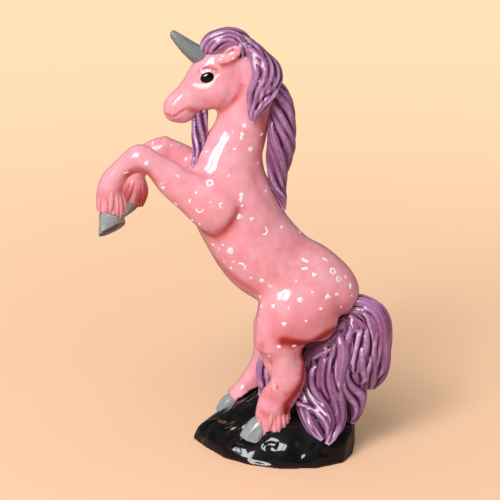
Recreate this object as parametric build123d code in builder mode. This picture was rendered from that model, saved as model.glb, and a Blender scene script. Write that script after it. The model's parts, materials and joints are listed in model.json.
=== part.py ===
from build123d import *
from math import cos, radians, sin
import os

# Rearing unicorn figurine in glazed earthenware on a rock base, built as the separate castings
# and sprigs that a potter lutes together: hollow trunk and neck, solid limbs, head, horn, ears,
# eyes, hooves, locks of mane, beard and tail, and a hollow base.
# The figure faces -X, its left side is -Y, and Z is up from the table.

# Whole figure
figure_height = 200.0
balance_shift_share = -0.008      # moves the figure so that its outer box is centred on the origin
seat_level_share = 0.05           # level of the figure that rests in the rock
wall = 4.0                        # thickness of the slip-cast walls

# Trunk and neck
barrel_depth = 40.0
barrel_width = 36.0
neck_depth = 24.0
neck_width = 17.0

# Head
head_depth = 23.0
head_width = 16.0
jowl_radius = 10.2
jowl_width = 16.8
jowl_x_share = -0.0575
jowl_z_share = 0.8700
ear_spread = 6.6                  # from the middle of the head
ear_width = 6.4
ear_thickness = 3.6
ear_cup_radius = 1.9
ear_cup_stretch_share = 2.2
ear_cup_turn = -35.0              # degrees
eye_length = 6.2
eye_height = 4.6
eye_depth = 3.4
eye_spread = 7.0
eye_slant = -20.0                 # degrees
eye_x_share = -0.0785
eye_z_share = 0.8955
horn_length = 18.5
horn_angle = radians(142.0)       # above the way back, in the side view
horn_root_x_share = -0.0890
horn_root_z_share = 0.9320
horn_root_radius = 4.5
horn_tip_radius = 1.3

# Legs
foreleg_spread = 13.0
forearm_depth = 23.0
forearm_width = 18.0
forecannon_depth = 12.4
forecannon_width = 11.6
hindleg_spread = 13.5
thigh_depth = 37.0
thigh_width = 21.0
shank_depth = 19.0
shank_width = 16.0
forehoof_flare = 0.7
hoof_step = 0.4                   # how far the hoof's top draws in under the feather
hoof_wall = 1.6
sole_hollow = 0.8
hindhoof_width = 13.0
hindhoof_depth = 12.0

# Locks of hair
mane_lock_width = 14.0
mane_lock_thickness = 9.0
forelock_width = 10.0
forelock_thickness = 13.0
beard_width = 9.0
beard_thickness = 6.0
tail_lock_width = 13.0
tail_lock_thickness = 17.0

# Base
base_length = 79.0
base_depth = 63.0
base_height = 25.0
seat_share = 0.4                  # level in the rock where the hind legs rest
base_centre_x = 14.5
scoop_radius = 10.0
scoop_spread = 21.0               # from the middle of the figure
scoop_x_share = 0.0100
scoop_z_share = 0.0900

# Stations along each form: place as shares of figure_height, then depth and width as shares
# of that form's own depth and width
trunk_station_shares = [
    (0.2640, 0.3660, 0.18, 0.22),
    (0.2560, 0.3690, 0.36, 0.46),
    (0.2350, 0.3765, 0.57, 0.71),
    (0.1925, 0.3925, 0.78, 0.89),
    (0.1500, 0.4125, 0.89, 0.94),
    (0.1050, 0.4325, 0.93, 0.94),
    (0.0375, 0.4865, 1.00, 1.00),
    (-0.0015, 0.5480, 0.98, 1.00),
    (-0.0275, 0.6075, 0.98, 0.94),
    (-0.0400, 0.6600, 0.93, 0.86),
    (-0.0310, 0.7100, 0.79, 0.69),
]
neck_station_shares = [
    (-0.0180, 0.7400, 1.10, 1.22),
    (-0.0060, 0.7700, 1.01, 1.08),
    (0.0010, 0.8000, 0.98, 1.00),
    (0.0075, 0.8350, 0.96, 0.92),
    (0.0110, 0.8700, 0.92, 0.88),
    (0.0050, 0.9050, 0.80, 0.82),
    (-0.0125, 0.9350, 0.58, 0.70),
]
head_station_shares = [
    (-0.0100, 0.9300, 0.43, 0.56),
    (-0.0250, 0.9200, 0.78, 0.88),
    (-0.0500, 0.9025, 1.00, 1.00),
    (-0.0750, 0.8775, 1.00, 0.97),
    (-0.1000, 0.8550, 0.84, 0.84),
    (-0.1225, 0.8385, 0.67, 0.71),
    (-0.1450, 0.8190, 0.65, 0.71),
    (-0.1610, 0.8075, 0.56, 0.66),
    (-0.1715, 0.8015, 0.37, 0.48),
    (-0.1760, 0.7995, 0.17, 0.24),
]

# Leg stations have a third place, the share of the leg's spread from the middle of the figure
left_forearm_station_shares = [
    (-0.0090, 0.5850, 0.70, 0.34, 0.44),
    (-0.0240, 0.5910, 0.82, 0.74, 0.84),
    (-0.0500, 0.5990, 0.90, 1.02, 1.00),
    (-0.1015, 0.6290, 0.97, 0.89, 0.89),
    (-0.1455, 0.6590, 1.00, 0.72, 0.74),
    (-0.1850, 0.6925, 1.03, 0.54, 0.62),
]
left_forecannon_station_shares = [
    (-0.2165, 0.7140, 1.04, 1.02, 1.03),
    (-0.2430, 0.7150, 1.04, 0.96, 0.99),
    (-0.2690, 0.6960, 1.04, 0.77, 0.83),
    (-0.2920, 0.6690, 1.04, 0.84, 0.87),
    (-0.3000, 0.6400, 1.04, 0.96, 0.97),
    (-0.2970, 0.5960, 1.04, 0.98, 1.00),
]
right_forearm_station_shares = [
    (-0.0090, 0.5850, 0.70, 0.34, 0.44),
    (-0.0240, 0.5920, 0.82, 0.74, 0.84),
    (-0.0450, 0.6050, 0.88, 1.00, 1.00),
    (-0.0850, 0.6375, 0.94, 0.86, 0.87),
    (-0.1250, 0.6710, 0.96, 0.68, 0.71),
    (-0.1560, 0.6970, 0.97, 0.55, 0.62),
]
right_forecannon_station_shares = [
    (-0.1825, 0.7110, 0.97, 1.00, 1.00),
    (-0.2110, 0.7020, 0.97, 0.92, 0.95),
    (-0.2400, 0.6800, 0.97, 0.72, 0.80),
    (-0.2535, 0.6500, 0.97, 0.78, 0.84),
    (-0.2570, 0.6200, 0.97, 0.95, 0.97),
    (-0.2650, 0.5880, 0.97, 0.92, 0.97),
]
left_thigh_station_shares = [
    (0.1700, 0.4500, 0.67, 0.27, 0.38),
    (0.1650, 0.4300, 0.74, 0.54, 0.57),
    (0.1500, 0.3950, 0.85, 0.86, 0.86),
    (0.1275, 0.3500, 0.93, 1.00, 1.00),
    (0.0925, 0.3050, 0.97, 0.76, 0.93),
]
left_shank_station_shares = [
    (0.0860, 0.2700, 0.98, 1.24, 1.10),
    (0.0940, 0.2250, 0.99, 1.01, 1.00),
    (0.0965, 0.1850, 1.00, 0.98, 0.95),
    (0.0825, 0.1475, 1.01, 0.89, 0.88),
    (0.0690, 0.1125, 1.02, 0.84, 0.88),
    (0.0700, 0.0800, 1.03, 0.88, 0.95),
    (0.0725, 0.0500, 1.03, 0.86, 1.00),
]
right_thigh_station_shares = [
    (0.1700, 0.4500, 0.67, 0.27, 0.38),
    (0.1650, 0.4300, 0.74, 0.54, 0.57),
    (0.1475, 0.3950, 0.85, 0.86, 0.86),
    (0.1230, 0.3500, 0.93, 0.95, 1.00),
    (0.0940, 0.3050, 0.97, 0.72, 0.93),
]
right_shank_station_shares = [
    (0.0765, 0.2675, 0.98, 1.16, 1.10),
    (0.0695, 0.2275, 0.98, 0.98, 1.00),
    (0.0600, 0.1875, 0.97, 0.86, 0.90),
    (0.0325, 0.1450, 0.95, 0.68, 0.78),
    (0.0040, 0.1065, 0.93, 0.64, 0.78),
    (-0.0175, 0.0840, 0.92, 0.60, 0.76),
]

# Points of each lock: place along and up as shares of figure_height, place across as a share of
# the width that the lock lies on, then width and thickness as shares of the lock's own
forelock_point_shares = [
    (0.0120, -0.024, 0.9420, 0.50, 0.60),
    (-0.0040, -0.047, 0.9640, 0.90, 0.95),
    (-0.0270, -0.071, 0.9750, 1.00, 1.00),
    (-0.0520, -0.071, 0.9720, 0.96, 0.95),
    (-0.0740, -0.047, 0.9610, 0.78, 0.80),
    (-0.0900, -0.024, 0.9500, 0.36, 0.42),
]
crest_lock_point_shares = [
    (-0.0050, 0.000, 0.9620, 0.40, 0.55),
    (0.0150, 0.000, 0.9520, 0.60, 0.85),
    (0.0330, 0.012, 0.9340, 0.66, 1.00),
    (0.0480, 0.024, 0.9080, 0.66, 1.05),
    (0.0580, 0.035, 0.8760, 0.60, 1.05),
    (0.0620, 0.035, 0.8450, 0.40, 0.80),
]
curl_lock_point_shares = [
    (0.0250, -0.400, 0.9450, 0.35, 0.50),
    (0.0430, -0.471, 0.9150, 0.70, 0.75),
    (0.0490, -0.529, 0.8800, 0.85, 0.80),
    (0.0400, -0.588, 0.8480, 0.80, 0.75),
    (0.0250, -0.624, 0.8220, 0.52, 0.55),
    (0.0200, -0.612, 0.7980, 0.16, 0.20),
]
far_lock_point_shares = [
    (0.0250, 0.400, 0.9450, 0.35, 0.50),
    (0.0450, 0.471, 0.9120, 0.70, 0.75),
    (0.0560, 0.529, 0.8700, 0.80, 0.80),
    (0.0560, 0.565, 0.8260, 0.70, 0.70),
    (0.0450, 0.576, 0.7850, 0.45, 0.50),
    (0.0350, 0.565, 0.7550, 0.14, 0.20),
]
long_lock_point_shares = [
    (0.0600, -0.071, 0.8900, 0.30, 0.60),
    (0.0760, -0.094, 0.8580, 0.68, 0.95),
    (0.0880, -0.118, 0.8180, 0.88, 1.15),
    (0.0865, -0.141, 0.7700, 0.98, 1.20),
    (0.0835, -0.165, 0.7200, 1.00, 1.15),
    (0.0785, -0.165, 0.6800, 0.78, 1.05),
    (0.0780, -0.165, 0.6450, 0.58, 0.90),
    (0.0880, -0.141, 0.6150, 0.36, 0.55),
    (0.0930, -0.118, 0.5830, 0.14, 0.20),
]
beard_point_shares = [
    (-0.0950, 0.000, 0.8180, 0.75, 0.90),
    (-0.0975, -0.050, 0.7900, 0.95, 1.00),
    (-0.0985, -0.150, 0.7600, 0.92, 1.00),
    (-0.1010, -0.300, 0.7330, 0.66, 0.85),
    (-0.1090, -0.450, 0.7070, 0.36, 0.55),
    (-0.1190, -0.537, 0.6860, 0.12, 0.20),
]
tail_lock_point_shares = {
    "tail_outer_lock": [
        (0.2420, -0.011, 0.3480, 0.60, 0.60),
        (0.2740, -0.022, 0.3460, 0.88, 0.85),
        (0.3020, -0.039, 0.3220, 1.04, 1.00),
        (0.3110, -0.056, 0.2750, 1.08, 1.05),
        (0.3100, -0.078, 0.2250, 1.04, 1.00),
        (0.3050, -0.100, 0.1820, 0.84, 0.75),
        (0.2980, -0.122, 0.1480, 0.34, 0.32),
    ],
    "tail_middle_lock": [
        (0.2450, -0.056, 0.3280, 0.60, 0.55),
        (0.2640, -0.111, 0.2900, 0.98, 0.90),
        (0.2680, -0.156, 0.2300, 1.04, 0.95),
        (0.2630, -0.200, 0.1700, 0.94, 0.85),
        (0.2640, -0.222, 0.1150, 0.74, 0.70),
        (0.2580, -0.233, 0.0680, 0.28, 0.30),
    ],
    "tail_long_lock": [
        (0.2200, -0.078, 0.3080, 0.60, 0.55),
        (0.2300, -0.178, 0.2600, 0.96, 0.85),
        (0.2220, -0.244, 0.2000, 1.00, 0.90),
        (0.2160, -0.311, 0.1400, 0.94, 0.80),
        (0.2190, -0.450, 0.0940, 0.72, 0.60),
        (0.2060, -0.620, 0.0680, 0.48, 0.42),
        (0.1920, -0.710, 0.0500, 0.18, 0.20),
    ],
    "tail_sweep_lock": [
        (0.1780, -0.056, 0.2640, 0.50, 0.46),
        (0.1660, -0.111, 0.2300, 0.66, 0.56),
        (0.1580, -0.156, 0.1950, 0.68, 0.58),
        (0.1490, -0.211, 0.1600, 0.64, 0.56),
        (0.1420, -0.300, 0.1260, 0.58, 0.50),
        (0.1510, -0.528, 0.1000, 0.50, 0.46),
        (0.1690, -0.639, 0.0750, 0.40, 0.38),
        (0.1840, -0.683, 0.0590, 0.20, 0.20),
    ],
    "tail_inner_lock": [
        (0.2000, -0.067, 0.2950, 0.60, 0.50),
        (0.1960, -0.156, 0.2500, 0.84, 0.75),
        (0.1850, -0.211, 0.2000, 0.86, 0.75),
        (0.1780, -0.278, 0.1500, 0.84, 0.66),
        (0.1880, -0.500, 0.1040, 0.66, 0.54),
        (0.1980, -0.611, 0.0700, 0.32, 0.32),
    ],
    "tail_far_lock": [
        (0.2350, 0.056, 0.3200, 0.55, 0.50),
        (0.2350, 0.167, 0.2600, 0.95, 0.85),
        (0.2200, 0.222, 0.1950, 1.00, 0.90),
        (0.2050, 0.244, 0.1300, 0.95, 0.80),
        (0.2050, 0.256, 0.0750, 0.70, 0.60),
    ],
    "tail_under_lock": [
        (0.1900, 0.144, 0.2850, 0.60, 0.45),
        (0.1350, 0.111, 0.2350, 0.85, 0.50),
        (0.0950, 0.056, 0.1950, 0.90, 0.45),
        (0.0650, 0.044, 0.1600, 0.80, 0.40),
        (0.0500, 0.044, 0.1150, 0.60, 0.35),
    ],
}

# Ears and hooves: place, side, depth and width as for the legs, hooves with the way they face
ear_station_shares = [
    (-0.0600, 0.9200, 0.90, 0.55, 0.90),
    (-0.0450, 0.9310, 0.98, 0.90, 1.00),
    (-0.0270, 0.9450, 1.06, 1.00, 0.90),
    (-0.0130, 0.9570, 1.12, 0.72, 0.70),
    (-0.0060, 0.9640, 1.15, 0.22, 0.35),
]
left_forehoof_sole_shares = (-0.2975, 0.5540, 1.04, (0.45, -0.42, -0.80))
left_forehoof_coronet_facing_shares = (-0.24, 0.00, -0.97)
right_forehoof_sole_shares = (-0.2790, 0.5500, 0.97, (0.55, -0.25, -0.80))
right_forehoof_coronet_facing_shares = (-0.42, 0.00, -0.91)
left_hindhoof_ring_shares = [
    (0.0480, 0.0850, 1.07, 0.70, 0.85, (-0.75, -0.20, -0.62)),
    (0.0310, 0.0720, 1.11, 0.90, 0.92, (-0.75, -0.20, -0.62)),
    (0.0100, 0.0410, 1.23, 1.06, 1.00, (-0.30, -0.10, -0.95)),
]
right_hindhoof_ring_shares = [
    (-0.0150, 0.0880, 0.92, 0.70, 0.82, (-0.60, 0.10, -0.79)),
    (-0.0300, 0.0800, 0.92, 0.84, 0.88, (-0.60, 0.10, -0.79)),
    (-0.0490, 0.0450, 0.93, 1.02, 0.95, (-0.25, 0.05, -0.97)),
]

# Base outline as shares of half its length and depth, and its levels as shares of its height,
# with each level's shift of centre and its spread
base_outline_shares = [
    (1.00, -0.05), (0.95, -0.47), (0.82, -0.78), (0.50, -0.97),
    (0.08, -1.00), (-0.30, -0.86), (-0.60, -0.62), (-0.84, -0.22),
    (-1.00, 0.10), (-0.95, 0.38), (-0.68, 0.68), (-0.30, 0.90),
    (0.10, 1.00), (0.48, 0.92), (0.80, 0.66), (0.97, 0.32),
]
base_level_shares = [
    (0.00, 0.000, 0.000, 0.995, 0.985),
    (0.22, 0.025, -0.003, 0.980, 0.937),
    (0.40, 0.090, -0.003, 0.910, 0.860),
    (0.56, 0.165, 0.010, 0.800, 0.771),
    (0.70, 0.155, 0.063, 0.680, 0.651),
    (0.84, 0.130, 0.160, 0.510, 0.430),
    (1.00, 0.000, 0.319, 0.280, 0.162),
]
rock_jag_share = 0.035
rock_jag_turn = 2.3


def spot(x_share, y_place, z_share):
    # a place in the figure, which stands on the rock at its seat and reaches up to figure_height
    seat = seat_share * base_height
    rise_share = (z_share - seat_level_share) / (1 - seat_level_share)
    z_place = seat + rise_share * (figure_height - seat)
    return Vector((x_share + balance_shift_share) * figure_height, y_place, z_place)


def stations(station_shares, depth, width, spread=0.0):
    # centre, half depth and half width at each station of a form
    found = []
    for x_share, z_share, *side, depth_share, width_share in station_shares:
        side_place = side[0] * spread if side else 0.0
        centre = spot(x_share, side_place, z_share)
        found.append((centre, depth_share * depth / 2, width_share * width / 2))
    return found


def lock_stations(point_shares, width, thickness, across):
    # as stations, for a lock whose path also wanders sideways over a form that is across wide
    found = []
    for x_share, y_share, z_share, width_share, thickness_share in point_shares:
        centre = spot(x_share, y_share * across, z_share)
        found.append((centre, width_share * width / 2, thickness_share * thickness / 2))
    return found


def rings(places, last_facing=None):
    # a plane square to the path at each station, with the half depth and half width there
    found = []
    last = len(places) - 1
    for index, (centre, half_depth, half_width) in enumerate(places):
        heading = (places[min(index + 1, last)][0] - places[max(index - 1, 0)][0]).normalized()
        if index == last and last_facing:
            heading = Vector(*last_facing).normalized()
        across = heading.cross(Vector(0, 1, 0)).normalized()
        found.append((Plane(origin=centre, x_dir=across, z_dir=heading), half_depth, half_width))
    return found


def outlines(ring_list, inset=0.0):
    # the oval section at each ring, drawn in by inset
    faces = []
    for plane, half_depth, half_width in ring_list:
        with BuildSketch(plane) as section:
            Ellipse(half_depth - inset, half_width - inset)
        faces.append(section.sketch)
    return faces


def rock_outline(level, inset=0.0, drop=0.0):
    # one level of the rock, drawn in and lowered for the hollow beneath
    z_share, x_shift, y_shift, x_spread, y_spread = base_level_shares[level]
    centre_x = base_centre_x + balance_shift_share * figure_height + x_shift * base_length / 2
    centre_y = y_shift * base_depth / 2
    half_x = x_spread * base_length / 2 - inset
    half_y = y_spread * base_depth / 2 - inset
    corners = []
    for corner, (x_share, y_share) in enumerate(base_outline_shares):
        jag = 1 + rock_jag_share * sin(rock_jag_turn * corner * (level + 1)) * min(level, 1)
        corners.append((centre_x + jag * x_share * half_x, centre_y + jag * y_share * half_y))
    with BuildSketch(Plane.XY.offset(max(z_share * base_height - drop, 0.0))) as outline:
        Polygon(*corners, align=None)
    return outline.sketch


def hoof_plane(x_share, z_share, side_place, facing):
    # a plane across a hoof
    heading = Vector(*facing).normalized()
    across = heading.cross(Vector(0, 1, 0)).normalized()
    return Plane(origin=spot(x_share, side_place, z_share), x_dir=across, z_dir=heading)


def export(part, name):
    part.label = name
    export_step(part, f"parts/{name}.step")


os.makedirs("parts", exist_ok=True)

# Base: a rock mound cast hollow and open beneath, standing on its foot rim, with a scoop in its
# front where the left hind hoof stands
with BuildPart() as base_form:
    loft([rock_outline(level) for level in range(len(base_level_shares))], ruled=True)
    with Locations(spot(scoop_x_share, -scoop_spread, scoop_z_share)):
        Sphere(scoop_radius, mode=Mode.SUBTRACT)

with BuildPart() as base_mound:
    add(base_form.part)
    hollow_levels = (0, 2, 3, 4, 5)      # the levels that the hollow follows, without the crest
    loft([rock_outline(level, wall, wall) for level in hollow_levels], ruled=True, mode=Mode.SUBTRACT)
export(base_mound.part, "base_mound")

# Trunk and neck share the ring where they are luted together
spine = stations(trunk_station_shares, barrel_depth, barrel_width)
spine += stations(neck_station_shares, neck_depth, neck_width)
spine_rings = rings(spine)
neck_joint = len(trunk_station_shares)
hollow_start = 3                  # the trunk's hollow starts at this ring, past the narrow rump

with BuildPart() as trunk_form:
    loft(outlines(spine_rings[:neck_joint + 1]))

with BuildPart() as torso:
    add(trunk_form.part)
    loft(outlines(spine_rings[hollow_start:neck_joint + 1], wall), mode=Mode.SUBTRACT)
export(torso.part, "torso")

# Head, with the round of the cheek on both sides
cheek = scale(Sphere(jowl_radius, mode=Mode.PRIVATE), by=(1, jowl_width / 2 / jowl_radius, 1))
with BuildPart() as head:
    loft(outlines(rings(stations(head_station_shares, head_depth, head_width))))
    add(cheek.moved(Location(spot(jowl_x_share, 0, jowl_z_share))))
export(head.part, "head")

with BuildPart() as neck:
    loft(outlines(spine_rings[neck_joint:]))
    add(head.part, mode=Mode.SUBTRACT)
export(neck.part, "neck")

# Ears, cupped to the side, and eyes
ears = []
for side, name in ((-1, "left"), (1, "right")):
    ear_places = stations(ear_station_shares, ear_width, ear_thickness, side * ear_spread)
    cup_centre = ear_places[2][0] + Vector(0, side * ear_thickness / 2, 0)
    ear_cup = scale(Sphere(ear_cup_radius, mode=Mode.PRIVATE), by=(ear_cup_stretch_share, 1, 1))
    with BuildPart() as ear:
        loft(outlines(rings(ear_places)))
        add(ear_cup.rotate(Axis.Y, ear_cup_turn).moved(Location(cup_centre)), mode=Mode.SUBTRACT)
        add(head.part, mode=Mode.SUBTRACT)
        add(neck.part, mode=Mode.SUBTRACT)
    ears.append(ear.part)
    export(ear.part, f"{name}_ear")

for side, name in ((-1, "left"), (1, "right")):
    eye_flattening = (1, eye_depth / eye_length, eye_height / eye_length)
    eye_ball = scale(Sphere(eye_length / 2, mode=Mode.PRIVATE), by=eye_flattening)
    eye_place = spot(eye_x_share, side * eye_spread, eye_z_share)
    with BuildPart() as eye:
        add(eye_ball.rotate(Axis.Y, eye_slant).moved(Location(eye_place)))
        add(head.part, mode=Mode.SUBTRACT)
    export(eye.part, f"{name}_eye")

# Horn: a smooth cone with a rounded tip, rooted in the forehead
horn_root = spot(horn_root_x_share, 0, horn_root_z_share)
horn_plane = Plane(origin=horn_root, z_dir=(cos(horn_angle), 0, sin(horn_angle)))
horn_tip_plane = horn_plane.offset(horn_length - horn_tip_radius)
with BuildPart() as horn:
    with BuildSketch(horn_plane):
        Circle(horn_root_radius)
    with BuildSketch(horn_tip_plane):
        Circle(horn_tip_radius)
    loft()
    add(Sphere(horn_tip_radius, mode=Mode.PRIVATE).moved(horn_tip_plane.location))
    add(head.part, mode=Mode.SUBTRACT)
export(horn.part, "horn")

# Forelegs: forearm luted to the chest, cannon with its feathered fetlock, and hoof
forelegs = {
    "left": (
        left_forearm_station_shares,
        left_forecannon_station_shares,
        left_forehoof_coronet_facing_shares,
        left_forehoof_sole_shares,
        -1,
    ),
    "right": (
        right_forearm_station_shares,
        right_forecannon_station_shares,
        right_forehoof_coronet_facing_shares,
        right_forehoof_sole_shares,
        1,
    ),
}
legs = []
for name, (forearm_shares, cannon_shares, coronet_facing, sole_shares, side) in forelegs.items():
    leg = stations(forearm_shares, forearm_depth, forearm_width, side * foreleg_spread)
    leg += stations(cannon_shares, forecannon_depth, forecannon_width, side * foreleg_spread)
    leg_rings = rings(leg, coronet_facing)
    knee = len(forearm_shares)
    with BuildPart() as forearm:
        loft(outlines(leg_rings[:knee + 1]))
        add(trunk_form.part, mode=Mode.SUBTRACT)
    legs.append(forearm.part)
    export(forearm.part, f"{name}_forearm")

    with BuildPart() as cannon:
        loft(outlines(leg_rings[knee:]))
    legs.append(cannon.part)
    export(cannon.part, f"{name}_front_cannon")

    x_share, z_share, spread_share, facing = sole_shares
    coronet_plane, coronet_depth, coronet_width = leg_rings[-1]
    sole_plane = hoof_plane(x_share, z_share, side * spread_share * foreleg_spread, facing)
    hoof_rings = [
        (coronet_plane, coronet_depth - hoof_step, coronet_width - hoof_step),
        (sole_plane, coronet_depth + forehoof_flare, coronet_width + forehoof_flare),
    ]
    with BuildPart() as hoof:
        loft(outlines(hoof_rings))
        with BuildSketch(sole_plane):
            Ellipse(coronet_depth - hoof_wall, coronet_width - hoof_wall)
        extrude(amount=-sole_hollow, mode=Mode.SUBTRACT)
    legs.append(hoof.part)
    export(hoof.part, f"{name}_fore_hoof")

# Hind legs: thigh luted to the haunch, shank down to the feathered fetlock, and a hoof on the rock
hindlegs = {
    "left": (left_thigh_station_shares, left_shank_station_shares, left_hindhoof_ring_shares, -1),
    "right": (right_thigh_station_shares, right_shank_station_shares, right_hindhoof_ring_shares, 1),
}
for name, (thigh_shares, shank_shares, hoof_shares, side) in hindlegs.items():
    leg = stations(thigh_shares, thigh_depth, thigh_width, side * hindleg_spread)
    leg += stations(shank_shares, shank_depth, shank_width, side * hindleg_spread)
    leg_rings = rings(leg)
    stifle = len(thigh_shares)
    with BuildPart() as thigh:
        loft(outlines(leg_rings[:stifle + 1]))
        add(trunk_form.part, mode=Mode.SUBTRACT)
    legs.append(thigh.part)
    export(thigh.part, f"{name}_thigh")

    with BuildPart() as shank:
        loft(outlines(leg_rings[stifle:]))
        add(base_form.part, mode=Mode.SUBTRACT)
    legs.append(shank.part)
    export(shank.part, f"{name}_shank")

    hoof_rings = [
        (
            hoof_plane(x_share, z_share, side * spread_share * hindleg_spread, facing),
            depth_share * hindhoof_depth / 2,
            width_share * hindhoof_width / 2,
        )
        for x_share, z_share, spread_share, depth_share, width_share, facing in hoof_shares
    ]
    with BuildPart() as hoof:
        loft(outlines(hoof_rings))
        add(shank.part, mode=Mode.SUBTRACT)
        add(base_form.part, mode=Mode.SUBTRACT)
    legs.append(hoof.part)
    export(hoof.part, f"{name}_hind_hoof")


def sprig(point_shares, width, thickness, across, neighbours):
    # one lock of hair, cut away where the neighbours that it lies on already stand
    with BuildPart() as lock:
        loft(outlines(rings(lock_stations(point_shares, width, thickness, across))))
        lock_box = lock.part.bounding_box()
        for neighbour in neighbours:
            if lock_box.overlaps(neighbour.bounding_box()):
                add(neighbour, mode=Mode.SUBTRACT)
        add(lock.solids().sort_by(SortBy.VOLUME)[-1], mode=Mode.REPLACE)
    return lock.part


# Locks of the forelock, mane and beard
upper_body = [head.part, neck.part, trunk_form.part, horn.part] + ears
mane_locks = {
    "forelock": (forelock_point_shares, forelock_width, forelock_thickness, neck_width),
    "mane_crest_lock": (crest_lock_point_shares, mane_lock_width, mane_lock_thickness, neck_width),
    "mane_curl_lock": (curl_lock_point_shares, mane_lock_width, mane_lock_thickness, neck_width),
    "mane_far_lock": (far_lock_point_shares, mane_lock_width, mane_lock_thickness, neck_width),
    "mane_long_lock": (long_lock_point_shares, mane_lock_width, mane_lock_thickness, neck_width),
    "beard": (beard_point_shares, beard_width, beard_thickness, head_width),
}
locks = []
for name, (point_shares, width, thickness, across) in mane_locks.items():
    locks.append(sprig(point_shares, width, thickness, across, upper_body + locks))
    export(locks[-1], name)

# Locks of the tail, from the root at the rump down over the rock
lower_body = [trunk_form.part, base_form.part] + legs[-6:]
tail_locks = []
for name, point_shares in tail_lock_point_shares.items():
    neighbours = lower_body + tail_locks
    lock = sprig(point_shares, tail_lock_width, tail_lock_thickness, barrel_width, neighbours)
    tail_locks.append(lock)
    export(lock, name)
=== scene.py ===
import json
import math

import bmesh
import bpy
import numpy as np
from mathutils import Euler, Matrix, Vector, noise
from mathutils.bvhtree import BVHTree

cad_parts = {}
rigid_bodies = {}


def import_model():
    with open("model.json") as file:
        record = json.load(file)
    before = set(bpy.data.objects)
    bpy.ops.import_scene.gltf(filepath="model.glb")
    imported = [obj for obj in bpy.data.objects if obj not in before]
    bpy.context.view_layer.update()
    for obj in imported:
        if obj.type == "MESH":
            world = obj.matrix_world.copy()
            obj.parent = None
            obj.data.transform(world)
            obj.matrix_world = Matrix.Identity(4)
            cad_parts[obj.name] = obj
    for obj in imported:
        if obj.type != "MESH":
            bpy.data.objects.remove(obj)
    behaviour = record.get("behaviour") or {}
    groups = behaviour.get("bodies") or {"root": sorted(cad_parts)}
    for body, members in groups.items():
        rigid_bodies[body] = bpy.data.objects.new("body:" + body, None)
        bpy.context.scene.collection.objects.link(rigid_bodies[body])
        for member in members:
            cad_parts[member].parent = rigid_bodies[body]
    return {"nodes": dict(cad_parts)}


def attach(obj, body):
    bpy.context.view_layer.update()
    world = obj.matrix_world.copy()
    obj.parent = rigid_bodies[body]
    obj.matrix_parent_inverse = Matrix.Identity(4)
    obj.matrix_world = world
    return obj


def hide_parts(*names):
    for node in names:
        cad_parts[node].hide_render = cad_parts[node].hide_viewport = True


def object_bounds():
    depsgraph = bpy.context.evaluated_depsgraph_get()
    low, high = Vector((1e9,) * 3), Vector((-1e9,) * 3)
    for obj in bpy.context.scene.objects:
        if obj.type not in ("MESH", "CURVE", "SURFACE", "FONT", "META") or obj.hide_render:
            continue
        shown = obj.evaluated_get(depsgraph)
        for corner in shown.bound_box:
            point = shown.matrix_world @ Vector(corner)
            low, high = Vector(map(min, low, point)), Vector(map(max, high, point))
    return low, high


# Rearing unicorn in glazed earthenware. Settings are in millimetres, meshes in metres.
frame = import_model()
cadNodes = frame["nodes"]
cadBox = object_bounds()
metre = 1000                 # in millimetres
millimetre = 0.001           # in metres
fullTurn = 2 * math.pi
figureHeight = cadBox[1].z * metre
balanceShift = -0.008        # share of the height that the figure stands forward of its own middle
print("frame loaded, height", round(figureHeight, 1))

# Camera, made first because marks on the glaze are placed along its lines of sight
cameraSettings = {
    "place": (0.0014, -0.61777, 0.28587),
    "tilt": 73.0,            # degrees up from looking straight down
    "lens": 100.0,
    "sensor": 36.0,
    "picture": 500.0,        # the photograph's width and height in pixels
}


def addObject(name, data):
    thing = bpy.data.objects.new(name, data)
    bpy.context.scene.collection.objects.link(thing)
    return thing


def makeCamera():
    lens = bpy.data.cameras.new("figureCamera")
    lens.lens = cameraSettings["lens"]
    lens.sensor_width = cameraSettings["sensor"]
    camera = addObject("figureCamera", lens)
    camera.location = cameraSettings["place"]
    camera.rotation_euler = (math.radians(cameraSettings["tilt"]), 0, 0)
    bpy.context.scene.camera = camera


def sightLine(px, py):
    # direction from the camera through a pixel of the photograph
    middle = cameraSettings["picture"] / 2
    focal = cameraSettings["lens"] / cameraSettings["sensor"] * cameraSettings["picture"]
    turned = Euler((math.radians(cameraSettings["tilt"]), 0, 0)).to_matrix()
    return (turned @ Vector(((px - middle) / focal, (middle - py) / focal, -1))).normalized()


def placeAtDepth(px, py, depth):
    # where that line of sight meets the upright plane y = depth, in millimetres
    start = Vector(cameraSettings["place"]) * metre
    line = sightLine(px, py)
    return start + line * ((depth - start.y) / line.y)


def seenAt(tree, px, py):
    # place and normal of what lies under a pixel, both None where nothing does
    return tree.ray_cast(Vector(cameraSettings["place"]), sightLine(px, py))[:2]


makeCamera()


# Mesh arrays, in millimetres
def readArray(items, key, width, kind=np.float32):
    values = np.empty(len(items) * width, dtype=kind)
    items.foreach_get(key, values)
    return values.reshape(-1, width)


def readPlaces(mesh):
    return readArray(mesh.vertices, "co", 3).astype(float) * metre


def readNormals(mesh):
    return readArray(mesh.vertices, "normal", 3).astype(float)


def readEdges(mesh):
    return readArray(mesh.edges, "vertices", 2, np.int32)


def writePlaces(mesh, places):
    mesh.vertices.foreach_set("co", (places / metre).astype(np.float32).ravel())
    mesh.update()


def storeNumber(mesh, name, values):
    attribute = mesh.attributes.get(name) or mesh.attributes.new(name, "FLOAT", "POINT")
    attribute.data.foreach_set("value", np.asarray(values, dtype=np.float32))


def storeVector(mesh, name, values):
    attribute = mesh.attributes.new(name, "FLOAT_VECTOR", "POINT")
    attribute.data.foreach_set("vector", np.asarray(values, dtype=np.float32).ravel())


def unit(vector):
    vector = np.asarray(vector, dtype=float)
    return vector / np.linalg.norm(vector)


def unitRows(rows):
    return rows / np.linalg.norm(rows, axis=1)[:, None].clip(1e-6)


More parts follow.
